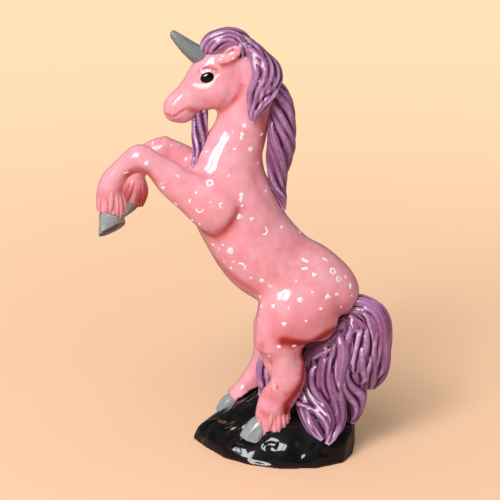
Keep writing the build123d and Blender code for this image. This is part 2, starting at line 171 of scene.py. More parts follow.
def bell(distance, width):
    return np.exp(-((distance / width) ** 2))


def easedStep(values, low, high):
    share = ((values - low) / (high - low)).clip(0, 1)
    return share * share * (3 - 2 * share)


def noiseAt(places, scale):
    return np.array([noise.noise(Vector(place / scale)) for place in places])


def levelled(values, ends, rounds, share=0.5):
    # each round moves every value a share of the way to the mean of its neighbours
    count = len(values)
    neighbours = np.bincount(ends.ravel(), minlength=count).clip(1)
    for turn in range(rounds):
        mean = np.empty_like(values)
        for column in range(values.shape[1]):
            total = np.bincount(ends[:, 0], values[ends[:, 1], column], count)
            total += np.bincount(ends[:, 1], values[ends[:, 0], column], count)
            mean[:, column] = total / neighbours
        values = values + share * (mean - values)
    return values


smoothingShares = (0.5, -0.52)         # drawn in, then pushed out again, which keeps the volume


def smoothMesh(mesh, rounds):
    places, ends = readPlaces(mesh), readEdges(mesh)
    for turn in range(rounds):
        for share in smoothingShares:
            places = levelled(places, ends, 1, share)
    writePlaces(mesh, places)


def sunkBelowLevel(mesh, rounds):
    # how far each place lies under its smoothed surroundings
    places, normals = readPlaces(mesh), readNormals(mesh)
    return ((levelled(places, readEdges(mesh), rounds) - places) * normals).sum(axis=1)


def hollowness(mesh, rounds, depth):
    # 0 on the level, towards 1 in a groove and -1 on a ridge that is about depth high
    return np.clip(sunkBelowLevel(mesh, rounds) / depth, -1, 1)


def fillHollows(mesh, rounds, passes, shareAt):
    # raises hollows towards the level and leaves ridges as they are
    for turn in range(passes):
        places, normals = readPlaces(mesh), readNormals(mesh)
        sunk = sunkBelowLevel(mesh, rounds).clip(0)
        writePlaces(mesh, places + normals * (sunk * shareAt(places))[:, None])


def clayOf(mesh):
    clay = bmesh.new()
    clay.from_mesh(mesh)
    return clay


def pour(clay, mesh):
    # ends the work on clay and leaves it in a mesh
    clay.to_mesh(mesh)
    clay.free()
    return mesh


def outerShell(mesh):
    # keeps the connected part with the largest box, which leaves a sealed hollow out
    ends = readEdges(mesh)
    label = np.arange(len(mesh.vertices))
    settled = False
    while not settled:
        low = np.minimum(label[ends[:, 0]], label[ends[:, 1]])
        new = label.copy()
        np.minimum.at(new, ends[:, 0], low)
        np.minimum.at(new, ends[:, 1], low)
        new = new[new]
        settled = (new == label).all()
        label = new
    places = readPlaces(mesh)
    best = max(np.unique(label), key=lambda name: np.ptp(places[label == name], axis=0).sum())
    clay = clayOf(mesh)
    clay.verts.ensure_lookup_table()
    loose = [clay.verts[index] for index in np.flatnonzero(label != best)]
    bmesh.ops.delete(clay, geom=loose, context="VERTS")
    pour(clay, mesh)


def evaluatedMesh(piece):
    view = bpy.context.evaluated_depsgraph_get()
    return bpy.data.meshes.new_from_object(piece.evaluated_get(view))


def meltTogether(name, nodeNames, voxel, shrink=0.0, extras=()):
    # one closed skin around copies of CAD nodes, drawn in by shrink, and other closed meshes
    clay = bmesh.new()
    for nodeName in nodeNames:
        part = clayOf(cadNodes[nodeName].data)
        bmesh.ops.remove_doubles(part, verts=part.verts, dist=1e-6)
        part.normal_update()
        for vertex in part.verts:
            vertex.co -= vertex.normal * shrink * millimetre
        single = pour(part, bpy.data.meshes.new("single"))
        clay.from_mesh(single)
        bpy.data.meshes.remove(single)
    for extra in extras:
        clay.from_mesh(extra)
    mesh = pour(clay, bpy.data.meshes.new(name))
    piece = addObject(name, mesh)
    remesh = piece.modifiers.new("melt", "REMESH")
    remesh.mode = "VOXEL"
    remesh.voxel_size = voxel * millimetre
    melted = evaluatedMesh(piece)
    piece.modifiers.remove(remesh)
    piece.data = melted
    melted.name = name
    bpy.data.meshes.remove(mesh)
    return piece


def grownMesh(piece, tree, values):
    # what a Geometry Nodes tree makes of a piece, with some of its named inputs set
    modifier = piece.modifiers.new("grow", "NODES")
    modifier.node_group = tree
    for item in tree.interface.items_tree:
        if item.in_out == "INPUT" and item.name in values:
            modifier[item.identifier] = values[item.name]
    mesh = evaluatedMesh(piece)
    piece.modifiers.remove(modifier)
    return mesh


def refineWhere(mesh, inside):
    # halves the mesh inside a region
    clay = clayOf(mesh)
    chosen = set()
    for face in clay.faces:
        if inside(face.calc_center_median() * metre):
            chosen.update(face.edges)
    bmesh.ops.subdivide_edges(clay, edges=list(chosen), cuts=1, use_grid_fill=True)
    pour(clay, mesh)


def treeOf(mesh):
    places = [vertex.co.copy() for vertex in mesh.vertices]
    return BVHTree.FromPolygons(places, [tuple(face.vertices) for face in mesh.polygons])


def settle(piece, nodeNames, material):
    # closes a piece: its finish, body and the nodes that it stands for
    piece.data.polygons.foreach_set("use_smooth", np.ones(len(piece.data.polygons), dtype=bool))
    piece.data.materials.clear()
    piece.data.materials.append(material)
    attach(piece, "root")
    if nodeNames:
        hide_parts(*nodeNames)
    print(piece.name, len(piece.data.polygons), "faces")


# Routes
def routeNearness(places, route):
    # distance to a route and how far along it the nearest place lies, from 0 to 1
    route = np.asarray(route, dtype=float)
    steps = np.linalg.norm(np.diff(route, axis=0), axis=1)
    begun = np.concatenate(([0], np.cumsum(steps)))
    nearest = np.full(len(places), np.inf)
    along = np.zeros(len(places))
    for index, step in enumerate(steps):
        direction = (route[index + 1] - route[index]) / step
        reach = ((places - route[index]) @ direction).clip(0, step)
        distance = np.linalg.norm(places - route[index] - reach[:, None] * direction, axis=1)
        closer = distance < nearest
        nearest[closer] = distance[closer]
        along[closer] = (begun[index] + reach[closer]) / begun[-1]
    return nearest, along


def nearnessOnBothSides(places, route):
    return [routeNearness(places, route * (1, side, 1)) for side in (1, -1)]


def curvedRoute(points, count):
    # a smooth row of values through given rows, by Catmull-Rom
    rows = np.asarray(points, dtype=float)
    padded = np.vstack((2 * rows[0] - rows[1], rows, 2 * rows[-1] - rows[-2]))
    result = []
    for place in np.linspace(0, len(rows) - 1, count):
        first = min(int(place), len(rows) - 2)
        share = place - first
        a, b, c, d = padded[first:first + 4]
        slope, curve, bend = c - a, 2 * a - 5 * b + 4 * c - d, -a + 3 * b - 3 * c + d
        result.append(0.5 * (2 * b + slope * share + curve * share**2 + bend * share**3))
    return np.array(result)


castsPerPoint = 4


def castRoute(tree, pixels):
    # a route on the near side of a surface, under given pixels
    route = curvedRoute(pixels, castsPerPoint * len(pixels))
    hits = [seenAt(tree, px, py)[0] for px, py in route]
    return np.array([tuple(hit * metre) for hit in hits if hit is not None])


def fadedEnds(along, fade, beyond=0.0):
    # 1 along a route, falling over the share fade towards its ends, or a little beyond them
    return easedStep(along, -beyond, fade) * (1 - easedStep(along, 1 - fade, 1 + beyond))


carveFade = (0.18, 0.01)     # share of a groove that fades at either end, and how far past it


def carve(places, normals, route, width, depth):
    distance, along = routeNearness(places, route)
    depths = depth * bell(distance, width) * fadedEnds(along, *carveFade)
    return places - normals * depths[:, None]


# Nodes: a small maker for materials and for Geometry Nodes
class Signal:
    # one output socket, on which Python's operators add Math nodes
    def __init__(self, maker, socket):
        self.maker = maker
        self.socket = socket

    def other(self, output):
        # another output of the same node
        return Signal(self.maker, self.socket.node.outputs[output])

    def __add__(self, other):
        return self.maker.calculated("ADD", self, other)

    def __radd__(self, other):
        return self.maker.calculated("ADD", other, self)

    def __sub__(self, other):
        return self.maker.calculated("SUBTRACT", self, other)

    def __rsub__(self, other):
        return self.maker.calculated("SUBTRACT", other, self)

    def __mul__(self, other):
        return self.maker.calculated("MULTIPLY", self, other)

    def __rmul__(self, other):
        return self.maker.calculated("MULTIPLY", other, self)


class NodeMaker:
    # adds nodes to a tree
    def __init__(self, tree):
        self.tree = tree

    def feed(self, socket, value):
        if isinstance(value, Signal):
            self.tree.links.new(value.socket, socket)
        else:
            socket.default_value = value

    def add(self, kind, settings=None, sockets=None, output=0):
        # a node of any kind: its settings first, then the values or links of its sockets
        node = self.tree.nodes.new(kind)
        for name, value in (settings or {}).items():
            setattr(node, name, value)
        for key, value in (sockets or {}).items():
            self.feed(node.inputs[key], value)
        return Signal(self, node.outputs[output])

    def calculated(self, operation, first, second=0.0):
        return self.add("ShaderNodeMath", {"operation": operation}, {0: first, 1: second})

    def blend(self, factor, first, second):
        # mixes two colours
        settings = {"data_type": "RGBA", "clamp_factor": True}
        return self.add("ShaderNodeMix", settings, {0: factor, 6: first, 7: second}, 2)


class GlazeMaker(NodeMaker):
    # a material's node tree
    def __init__(self, name):
        self.material = bpy.data.materials.new(name)
        self.material.use_nodes = True
        super().__init__(self.material.node_tree)
        self.tree.nodes.clear()
        self.surface = self.tree.nodes.new("ShaderNodeBsdfPrincipled")
        output = self.tree.nodes.new("ShaderNodeOutputMaterial")
        self.tree.links.new(self.surface.outputs[0], output.inputs["Surface"])

    def layered(self, colours, ground, layers):
        # colours by name over a ground: how much of each, then its name
        tint = colours[ground]
        for amount, name in layers:
            tint = self.blend(amount, tint, colours[name])
        return tint

    def window(self, signal, low, high, most=1.0):
        # 0 below low and most above high
        settings = {"interpolation_type": "SMOOTHSTEP"}
        share = self.add("ShaderNodeMapRange", settings, {0: signal, 1: low, 2: high})
        return share if most == 1.0 else share * most

    def attribute(self, name):
        return self.add("ShaderNodeAttribute", {"attribute_name": name}, output=2)

    def place(self):
        return self.add("ShaderNodeTexCoord", output=3)

    def cloud(self, scale, detail=3.0, roughness=0.55):
        sockets = {"Vector": self.place(), "Scale": scale, "Detail": detail, "Roughness": roughness}
        return self.add("ShaderNodeTexNoise", {}, sockets)

    def finish(self, sockets):
        for name, value in sockets.items():
            self.feed(self.surface.inputs[name], value)
        return self.material

    def glazed(self, tint, roughness=0.45, ripple=None):
        # a colour under clear gloss; ripple is the scale, strength and height of the bumps
        sockets = dict(glossSettings, **{"Base Color": tint, "Roughness": roughness})
        if ripple:
            scale, strength, height = ripple
            sockets["Normal"] = self.add("ShaderNodeBump", {}, {
                "Strength": strength, "Distance": height * millimetre,
                "Height": self.cloud(scale, 2.0),
            })
        return self.finish(sockets)


def glazeColour(red, green, blue):
    # a colour as it reads on screen, 0 to 255, in linear light
    channels = []
    for value in (red, green, blue):
        share = value / 255
        channels.append(share / 12.92 if share <= 0.04045 else ((share + 0.055) / 1.055) ** 2.4)
    return (*channels, 1.0)


# Glazes. Each dictionary holds its colours, and where it has them the bumps of its gloss
glossSettings = {
    "Coat Weight": 1.0, "Coat Roughness": 0.05, "Coat IOR": 1.5,
    "Specular IOR Level": 0.12,
}
bodyGlazeSettings = {
    "rose": glazeColour(243, 166, 180),
    "salmon": glazeColour(241, 152, 161),
    "coral": glazeColour(194, 62, 58),
    "crease": glazeColour(146, 34, 38),
    "blush": glazeColour(246, 184, 198),
    "white": glazeColour(252, 242, 242),
    "ripple": (260.0, 0.25, 0.12),
}


def bodyGlaze():
    maker = GlazeMaker("bodyGlaze")
    groove = maker.attribute("groove")
    sprayAndShade = maker.attribute("sprayAndShade")
    mottle = maker.cloud(170.0)
    fine = maker.cloud(900.0, 4.0, 0.7)
    tint = maker.layered(bodyGlazeSettings, "rose", [
        (maker.window(maker.cloud(60.0, 2.0), 0.35, 0.7), "salmon"),
        # painted shade and painted warm floor bounce: faces that look down lean to salmon, partly the
        # glaze's own coral
        (maker.window(maker.attribute("under"), 0.05, 1.0, 0.35), "salmon"),
        (maker.window(mottle, 0.48, 0.7, 0.5), "blush"),
        (maker.window(0 - mottle, -0.46, -0.3, 0.16), "coral"),
        # painted light: ridges are made lighter
        (maker.window(0 - groove, 0.05, 0.9, 0.5), "blush"),
        # coral spray and painted shade in sheltered places, deepest as painted shadow in crease red
        (sprayAndShade, "coral"),
        (maker.window(sprayAndShade, 0.8, 1.2, 0.8), "crease"),
        # painted shade in broad hollows, partly glaze pooling
        (maker.window(maker.attribute("poolAndShade"), 0.08, 0.8, 0.8), "coral"),
        # painted shade in grooves, coral and crease red, partly glaze pooling
        (maker.window(groove, 0.15, 0.9, 0.8), "coral"),
        (maker.window(groove, 0.75, 1.0, 0.55), "crease"),
        (maker.window(fine, 0.66, 0.76, 0.35), "blush"),
        (maker.attribute("white"), "white"),
    ])
    return maker.glazed(tint, 0.4 + fine * 0.12, bodyGlazeSettings["ripple"])


fleckGlazeSettings = {"milk": glazeColour(255, 238, 246), "pink": glazeColour(246, 172, 186)}


def fleckGlaze():
    maker = GlazeMaker("fleckGlaze")
    height = maker.attribute("rise") + maker.cloud(500.0, 2.0) * 0.5
    layers = [(maker.window(height, 0.15, 0.75), "milk")]
    return maker.glazed(maker.layered(fleckGlazeSettings, "pink", layers))


hairGlazeSettings = {
    "violet": glazeColour(172, 120, 166),
    "plum": glazeColour(54, 16, 44),
    "mulberry": glazeColour(154, 92, 132),
    "grape": glazeColour(112, 54, 98),
    "lilac": glazeColour(224, 182, 226),
    "ripple": (420.0, 0.2, 0.1),
}


def hairGlaze():
    maker = GlazeMaker("hairGlaze")
    groove = maker.attribute("groove")
    drift = maker.cloud(90.0)
    tint = maker.layered(hairGlazeSettings, "violet", [
        (maker.window(drift, 0.38, 0.66), "mulberry"),
        (maker.attribute("deep"), "grape"),
        # painted highlight on ridges in lilac, partly the glaze breaking lighter there
        (maker.window(0 - groove, 0.2, 0.95, 0.8), "lilac"),
        # painted shade in broad hollows in plum, partly glaze pooling
        (maker.window(maker.attribute("poolAndShade"), 0.05, 0.6, 0.85), "plum"),
        # painted shade in grooves in plum, partly glaze pooling
        (maker.window(groove, -0.03, 0.5, 0.97), "plum"),
    ])
    return maker.glazed(tint, 0.3 + drift * 0.15, hairGlazeSettings["ripple"])


hoofGlazeSettings = {
    "slate": glazeColour(160, 168, 170),
    "pale": glazeColour(184, 196, 199),
    "iron": glazeColour(82, 86, 86),
    "umber": glazeColour(92, 60, 44),
    "ripple": (500.0, 0.2, 0.1),
}


def hoofGlaze():
    maker = GlazeMaker("hoofGlaze")
    groove = maker.attribute("groove")
    drift = maker.cloud(240.0)
    tint = maker.layered(hoofGlazeSettings, "slate", [
        (maker.window(drift, 0.35, 0.68, 0.25), "iron"),
        # painted highlight: ridges and top edges made paler
        (maker.window(0 - groove, 0.15, 0.9, 0.6), "pale"),
        # painted shade in grooves
        (maker.window(groove, 0.1, 0.8, 0.7), "iron"),
        (maker.attribute("dusk") * 0.58, "iron"),
        (maker.attribute("sole"), "umber"),
    ])
    return maker.glazed(tint, 0.28 + drift * 0.2, hoofGlazeSettings["ripple"])


rockGlazeSettings = {
    "black": glazeColour(5, 5, 7),
    "ink": glazeColour(17, 17, 21),
    "copper": glazeColour(128, 88, 70),
    "rust": glazeColour(62, 24, 20),
    "ripple": (300.0, 0.15, 0.08),
}


def rockGlaze():
    maker = GlazeMaker("rockGlaze")
    drift = maker.cloud(120.0)
    vein = maker.attribute("vein") * maker.window(maker.cloud(420.0), 0.28, 0.5)
    tint = maker.layered(rockGlazeSettings, "black", [
        (maker.window(drift, 0.4, 0.7), "ink"),
        (vein * 0.9, "copper"),
        (maker.attribute("rim") * 0.8, "rust"),
    ])
    return maker.glazed(tint, 0.4 + drift * 0.15, rockGlazeSettings["ripple"])


eyeGlazeSettings = {"jet": glazeColour(5, 4, 5), "sable": glazeColour(14, 8, 8)}


def eyeGlaze():
    maker = GlazeMaker("eyeGlaze")
    drift = maker.cloud(700.0, 2.0)
    tint = maker.layered(eyeGlazeSettings, "jet", [(maker.window(drift, 0.4, 0.7), "sable")])
    return maker.glazed(tint, 0.12 + drift * 0.08)


# Body: head, neck, trunk and legs melted into one skin, then worked like clay
skinNodes = [
    "torso", "neck", "head", "left_ear", "right_ear",
    "left_forearm", "right_forearm", "left_front_cannon", "right_front_cannon",
    "left_thigh", "right_thigh", "left_shank", "right_shank",
]
skinSettings = {
    "voxel": 0.8,
    "seamRounds": 14,        # rounds of smoothing that blend the seams
    "jointFill": (45, 4),    # how broad the hollows are that are filled, in rounds, and how often
    "haunchFill": (110, 3),
    "haunch": ((18, 18), (57, 13)),       # middle and spread of its hollow, lengthwise and upwards
    "fetlockClear": (8, 15), # distances from a fetlock between which the filling sets in
    "headFill": 0.45,        # share of the filling on the head
    "headFrom": (-46.0, 10.0, 150.0),     # forward end, back end and lowest level of the head
    "neckFrom": (-8.0, 172.0),            # behind and below this it is neck
    "muscle": 0.16,          # height of the uneven modelling
    "muscleScale": 11.0,
    "ripple": 0.05,          # finer waves that break the edges of the highlights
    "rippleScale": 4.5,
    "groove": (5, 0.16),     # rounds and depth that tell a groove
    "poolAndShade": (40, 0.9),     # and a broader hollow, darkened as painted shade, partly where glaze pools
    "sprayAndShadeShares": (1.0, 0.6),            # on the near side and on the far side
}
# Grooves along routes read from the photograph: pixels, then width and depth, raised if negative
creases = {
    "jaw": ([(194, 108), (202, 111), (212, 111.5), (223, 108), (232, 101.5), (238.5, 92),
        (241.5, 80), (240, 68)], 1.5, 0.5),
    "mouth": ([(165.5, 113.4), (168, 116.0), (172, 117.2), (176, 115.8), (181, 112.2),
        (187, 108.6)], 0.6, 0.42),
    "nostril": ([(169.2, 114.6), (170.6, 115.2)], 0.7, 0.45),
    "lipFold": ([(172, 119.5), (178, 120.5), (184, 118)], 0.8, 0.15),
    "browFold": ([(201, 71.5), (206, 69.0), (211, 69.0), (216, 71.5)], 0.9, 0.3),
    "earRoot": ([(215, 62.5), (221, 65.5), (228, 64.5), (234, 59.5)], 0.8, 0.45),
    "earCup": ([(219, 57.0), (224, 54.5), (229, 52.0), (235, 48.8)], 1.2, 0.95),
    "elbow": ([(205, 232), (210, 236), (217, 236.5), (224, 232), (230, 225), (235.5, 215.5)], 1.7, 0.5),
    "kneeFold": ([(128, 173), (134, 170), (140, 169), (145, 171)], 1.3, 0.4),
    "buttock": ([(282, 339), (292, 336), (300, 337), (308, 340)], 1.3, 0.3),
    "shankGroove": ([(291, 344), (295, 353), (297, 362), (299, 371)], 2.2, 0.6),
    "shankFront": ([(265, 352), (268, 362), (268, 372), (264, 382)], 4.2, 2.2),
    "hockFold": ([(282, 396), (288, 395.5), (295, 393.5), (300, 390)], 1.7, 0.5),
    "hockHollow": ([(300, 395), (296, 400), (292, 406)], 2.4, 0.9),
    "hockPoint": ([(297, 376), (300, 384)], 2.6, -0.5),
    "hockFront": ([(271, 388.5), (277, 387.5)], 2.2, -1.0),
    "shoulderBlade": ([(208, 176), (222, 186), (231, 199), (235, 211)], 2.6, 0.2),
}
# Coral sprayed on, with painted shade and painted shadow, in the sheltered places: pixel route, spread
# and strength
sprayAndShadeRoutes = [
    ([(283, 341), (292, 342), (303, 343.5), (314, 341), (325, 335), (344, 323.5), (357, 310)], 3.4, 1.2),
    ([(282, 335), (300, 331), (320, 324), (342, 312)], 8.0, 0.4),
    ([(303, 348), (304, 362), (303, 376), (299, 388)], 3.2, 1.1),
    ([(298, 391), (292, 398), (287, 404), (286, 412)], 3.2, 1.15),
    ([(203, 231), (213, 236.5), (222, 233.5), (231, 224), (237, 210)], 2.2, 0.8),
    ([(256, 100), (261, 113), (264, 127), (263, 140)], 2.6, 0.6),
    ([(190, 109), (205, 113.5), (222, 110), (236, 99), (242, 86)], 1.5, 0.7),
    ([(200.5, 71), (207, 67.5), (215, 70)], 1.3, 0.7),
    ([(127, 175), (135, 172), (145, 172), (154, 181)], 2.0, 0.75),
    ([(104, 196), (112, 196), (121, 192)], 3.0, 0.35),
    ([(184, 170), (194, 173.5), (206, 178)], 1.6, 0.3),
    ([(214, 259), (235, 278), (256, 292)], 2.6, 0.45),
    ([(223, 66), (231, 64), (238, 57)], 1.2, 0.8),
    ([(166, 113.8), (169, 116.6), (174, 116.8), (181, 112.2), (188, 108)], 0.8, 0.55),
    ([(251, 170), (258, 190), (270, 208)], 2.0, 0.25),
    ([(262, 413), (272, 417), (284, 415)], 2.4, 0.45),
    ([(262, 345), (261, 352)], 2.0, 0.4),
    ([(247, 388), (256, 380), (262, 372)], 2.2, 0.4),
    ([(206, 246), (212, 256), (220, 265)], 1.8, 0.4),
    ([(262, 392), (272, 398), (284, 402)], 3.0, 0.4),
]
bothSides = {"jaw", "mouth", "nostril", "lipFold", "browFold", "earRoot", "earCup"}
# Feathered fetlocks: top and foot of the tuft's axis and the way it points, then its strands
fetlockNames = (
    "top", "foot", "pointing", "count", "arc", "size", "flare", "start", "lean", "reach", "blush",
)
# blush is coral with painted shade towards the tips, most on the far fore tuft and least on the near one
fetlockRows = {
    "leftForeTuft": (
        (-60.0, -13.5, 137.0), (-61.2, -13.5, 118.0), (1.0, -0.35, 0.1),
        11, 120.0, 1.25, 0.25, 0.08, 0.10, 1.0, 0.1,
    ),
    "rightForeTuft": (
        (-49.5, 12.6, 136.0), (-54.4, 12.6, 117.0), (1.0, -0.5, 0.1),
        10, 125.0, 1.3, 0.35, 0.0, 0.14, 1.0, 0.85,
    ),
    "leftHindTuft": (
        (13.4, -13.9, 28.0), (12.9, -13.9, 14.0), (0.7, -0.7, 0.0),
        12, 115.0, 1.15, 0.6, 0.05, 0.16, 0.98, 0.3,
    ),
    "rightHindTuft": (
        (-0.8, 12.6, 23.5), (-5.4, 12.6, 15.5), (0.7, 0.2, 0.5),
        10, 140.0, 0.95, 0.2, 0.1, 0.10, 0.88, 0.3,
    ),
}
fetlocks = {name: dict(zip(fetlockNames, row)) for name, row in fetlockRows.items()}
nudgeReach = (1, 0.5, 1)     # a push on the clay reaches twice as far in depth
# These pushes: pixel and depth of the middle, the way, and how wide
nudges = [
    ((175, 123.5), -2.0, (0.3, 0.0, 1.3), 4.5),     # chin
    ((168, 103), -3.0, (0.5, 0.0, 0.0), 4.0),       # muzzle
    ((313, 347), -14.0, (-0.3, 0.6, 2.2), 6.0),     # under the haunch
]
eyeWhite = {
    "route": [
        (193.5, 84.4), (197, 85.4), (202, 86.2), (206.7, 85.2), (211.9, 81.4), (214.8, 77.6),
        (219.4, 74.2),
    ],
    "widths": (0.4, 0.8, 1.1, 1.15, 0.9, 0.65, 0.3),
    "edge": (0.1, 1.9),      # from this share of the width to this one the white thins out
}


def jointShare(places):
    # where hollows are filled: the joints of the limbs, less on the head, not on the fetlocks
    x, y, z = places.T
    forward, back, low = skinSettings["headFrom"]
    share = np.where((x < back) & (z > low), skinSettings["headFill"], 1.0)
    for settings in fetlocks.values():
        middle = (np.array(settings["top"]) + np.array(settings["foot"])) / 2
        share *= easedStep(np.linalg.norm(places - middle, axis=1), *skinSettings["fetlockClear"])
    return share


def haunchShare(places):
    # the broad hollow where the thigh runs into the shank
    (middle, spread), (height, rise) = skinSettings["haunch"]
    return bell(places[:, 0] - middle, spread) * bell(places[:, 2] - height, rise)


def onHead(centre):
    forward, back, low = skinSettings["headFrom"]
    neckAt, neckTop = skinSettings["neckFrom"]
    isNeck = centre.x > neckAt and centre.z < neckTop
    return forward < centre.x < back and centre.z > low and not isNeck


def nudged(places):
    for pixel, depth, way, width in nudges:
        middle = np.array(placeAtDepth(*pixel, depth))
        near = bell(np.linalg.norm((places - middle) * nudgeReach, axis=1), width)
        places = places + np.array(way) * near[:, None]
    return places


def storeHollows(mesh, settings):
    for name in ("groove", "poolAndShade"):
        if name in settings:
            storeNumber(mesh, name, hollowness(mesh, *settings[name]))


def storeUnder(mesh):
    # 1 where the surface faces down
    storeNumber(mesh, "under", easedStep(-readNormals(mesh)[:, 2], -0.2, 0.8))


def colourSkin(mesh, tree):
    # what the colours of the glaze follow
    storeHollows(mesh, skinSettings)
    storeUnder(mesh)
    places = readPlaces(mesh)
    # coral spray and painted shade along the routes, weaker on the far side
    sprayAndShade = np.zeros(len(places))
    for pixels, spread, strength in sprayAndShadeRoutes:
        sides = nearnessOnBothSides(places, castRoute(tree, pixels))
        for share, (distance, along) in zip(skinSettings["sprayAndShadeShares"], sides):
            sprayAndShade = np.maximum(sprayAndShade, share * strength * bell(distance, spread))
    storeNumber(mesh, "sprayAndShade", sprayAndShade)
    white = np.zeros(len(places))
    for distance, along in nearnessOnBothSides(places, castRoute(tree, eyeWhite["route"])):
        width = np.interp(along, np.linspace(0, 1, len(eyeWhite["widths"])), eyeWhite["widths"])
        white = np.maximum(white, 1 - easedStep(distance / width, *eyeWhite["edge"]))
    storeNumber(mesh, "white", white)


def buildSkin():
    skin = meltTogether("bodySkin", skinNodes, skinSettings["voxel"])
    mesh = skin.data
    outerShell(mesh)
    smoothMesh(mesh, skinSettings["seamRounds"])
    fillHollows(mesh, *skinSettings["jointFill"], jointShare)
    fillHollows(mesh, *skinSettings["haunchFill"], haunchShare)
    smoothMesh(mesh, rounds=4)
    refineWhere(mesh, onHead)
    smoothMesh(mesh, rounds=3)
    places = nudged(readPlaces(mesh))
    writePlaces(mesh, places)
    normals = readNormals(mesh)
    height = skinSettings["muscle"] * noiseAt(places, skinSettings["muscleScale"])
    height += skinSettings["ripple"] * noiseAt(places, skinSettings["rippleScale"])
    places = places + normals * height[:, None]
    writePlaces(mesh, places)
    tree = treeOf(mesh)
    for name, (pixels, width, depth) in creases.items():
        route = castRoute(tree, pixels)
        places = carve(places, normals, route, width, depth)
        if name in bothSides:
            places = carve(places, normals, route * (1, -1, 1), width, depth)
    writePlaces(mesh, places)
    smoothMesh(mesh, rounds=1)
    colourSkin(mesh, tree)
    settle(skin, skinNodes, bodySurface)
    return skin


bodySurface = bodyGlaze()
skin = buildSkin()

# Hair: strands follow each lock's route and are melted onto a core
strandInputs = {
    "Strands": ("NodeSocketInt", 8),
    "Twist": ("NodeSocketFloat", 0.3),          # turns from root to tip
    "Spread": ("NodeSocketFloat", 0.62),        # how far out the strands lie, as a share of the lock
    "Strand Size": ("NodeSocketFloat", 0.42),   # strand radius as a share of the lock's
    "Wander": ("NodeSocketFloat", 0.25),
    "Seed": ("NodeSocketInt", 1),
    "Sides": ("NodeSocketInt", 10),
    "Finish": ("NodeSocketMaterial", None),
}


class TreeMaker(NodeMaker):
    # a Geometry Nodes tree
    def __init__(self, name, inputs):
        super().__init__(bpy.data.node_groups.new(name, "GeometryNodeTree"))
        self.socket("Geometry", "INPUT", "NodeSocketGeometry")
        for label, (kind, value) in inputs.items():
            socket = self.socket(label, "INPUT", kind)
            if value is not None:
                socket.default_value = value
        self.socket("Geometry", "OUTPUT", "NodeSocketGeometry")
        self.group = self.tree.nodes.new("NodeGroupInput")

    def socket(self, label, way, kind):
        return self.tree.interface.new_socket(label, in_out=way, socket_type=kind)

    def given(self, label):
        return Signal(self, self.group.outputs[label])

    def vector(self, operation, first, second):
        key = "Scale" if operation == "SCALE" else 1
        return self.add("ShaderNodeVectorMath", {"operation": operation}, {0: first, key: second})

    def named(self, name, kind="FLOAT"):
        return self.add("GeometryNodeInputNamedAttribute", {"data_type": kind}, {"Name": name})

    def stored(self, geometry, name, value, kind="FLOAT"):
        settings = {"data_type": kind, "domain": "POINT"}
        sockets = {"Geometry": geometry, "Name": name, "Value": value}
        return self.add("GeometryNodeStoreNamedAttribute", settings, sockets)

    def random(self, low, high, number, seed):
        sockets = {2: low, 3: high, "ID": number, "Seed": seed}
        return self.add("FunctionNodeRandomValue", {"data_type": "FLOAT"}, sockets, 1)

    def close(self, geometry):
        real = self.add("GeometryNodeRealizeInstances", {}, {0: geometry})
        sockets = {"Geometry": real, "Material": self.given("Finish")}
        done = self.add("GeometryNodeSetMaterial", {}, sockets)
        output = self.tree.nodes.new("NodeGroupOutput")
        self.tree.links.new(done.socket, output.inputs[0])
        return self.tree


swayTurns = 6.0              # how quickly a strand sways along its lock, in radians
thinnestStrand = 0.3         # radius in millimetres
reachDraw = (0.86, 1.1)      # the least and the most of its reach that a strand gets
sizeDraw = (0.8, 1.15)       # and of its size


def strandTree():
    maker = TreeMaker("strandsAlongLock", strandInputs)
    path = maker.add("GeometryNodeMeshToCurve", {}, {0: maker.given("Geometry")})
    sockets = {"Geometry": path, "Amount": maker.given("Strands")}
    copies = maker.add("GeometryNodeDuplicateElements", {"domain": "SPLINE"}, sockets)
    number = copies.other(1)
    along = maker.add("GeometryNodeSplineParameter")
    seed = maker.given("Seed")
    start = maker.calculated("DIVIDE", number * fullTurn, maker.given("Strands"))
    drift = maker.random(0.0, fullTurn, number, seed)
    sway = maker.calculated("SINE", along * swayTurns + drift) * maker.given("Wander")
    angle = start + along * maker.given("Twist") * fullTurn + sway
    reach = maker.given("Spread") * maker.random(*reachDraw, number, seed + 7)
    width, thickness = maker.named("halfWidth"), maker.named("halfThickness")
    across = maker.calculated("COSINE", angle) * width * reach
    outward = maker.calculated("SINE", angle) * thickness * reach
    aside = maker.vector("SCALE", maker.named("aside", "FLOAT_VECTOR"), across)
    out = maker.vector("SCALE", maker.named("out", "FLOAT_VECTOR"), outward)
    sockets = {"Geometry": copies, "Offset": maker.vector("ADD", aside, out)}
    moved = maker.add("GeometryNodeSetPosition", {}, sockets)
    size = maker.calculated("SQRT", width * thickness) * maker.given("Strand Size")
    size = size * maker.random(*sizeDraw, number, seed + 3)
    size = maker.calculated("MAXIMUM", size, thinnestStrand * millimetre)
    sockets = {"Resolution": maker.given("Sides"), "Radius": 1.0}
    profile = maker.add("GeometryNodeCurvePrimitiveCircle", {}, sockets)
    return maker.close(maker.add("GeometryNodeCurveToMesh", {}, {
        "Curve": moved, "Profile Curve": profile, "Scale": size, "Fill Caps": True,
    }))


strandNodes = strandTree()


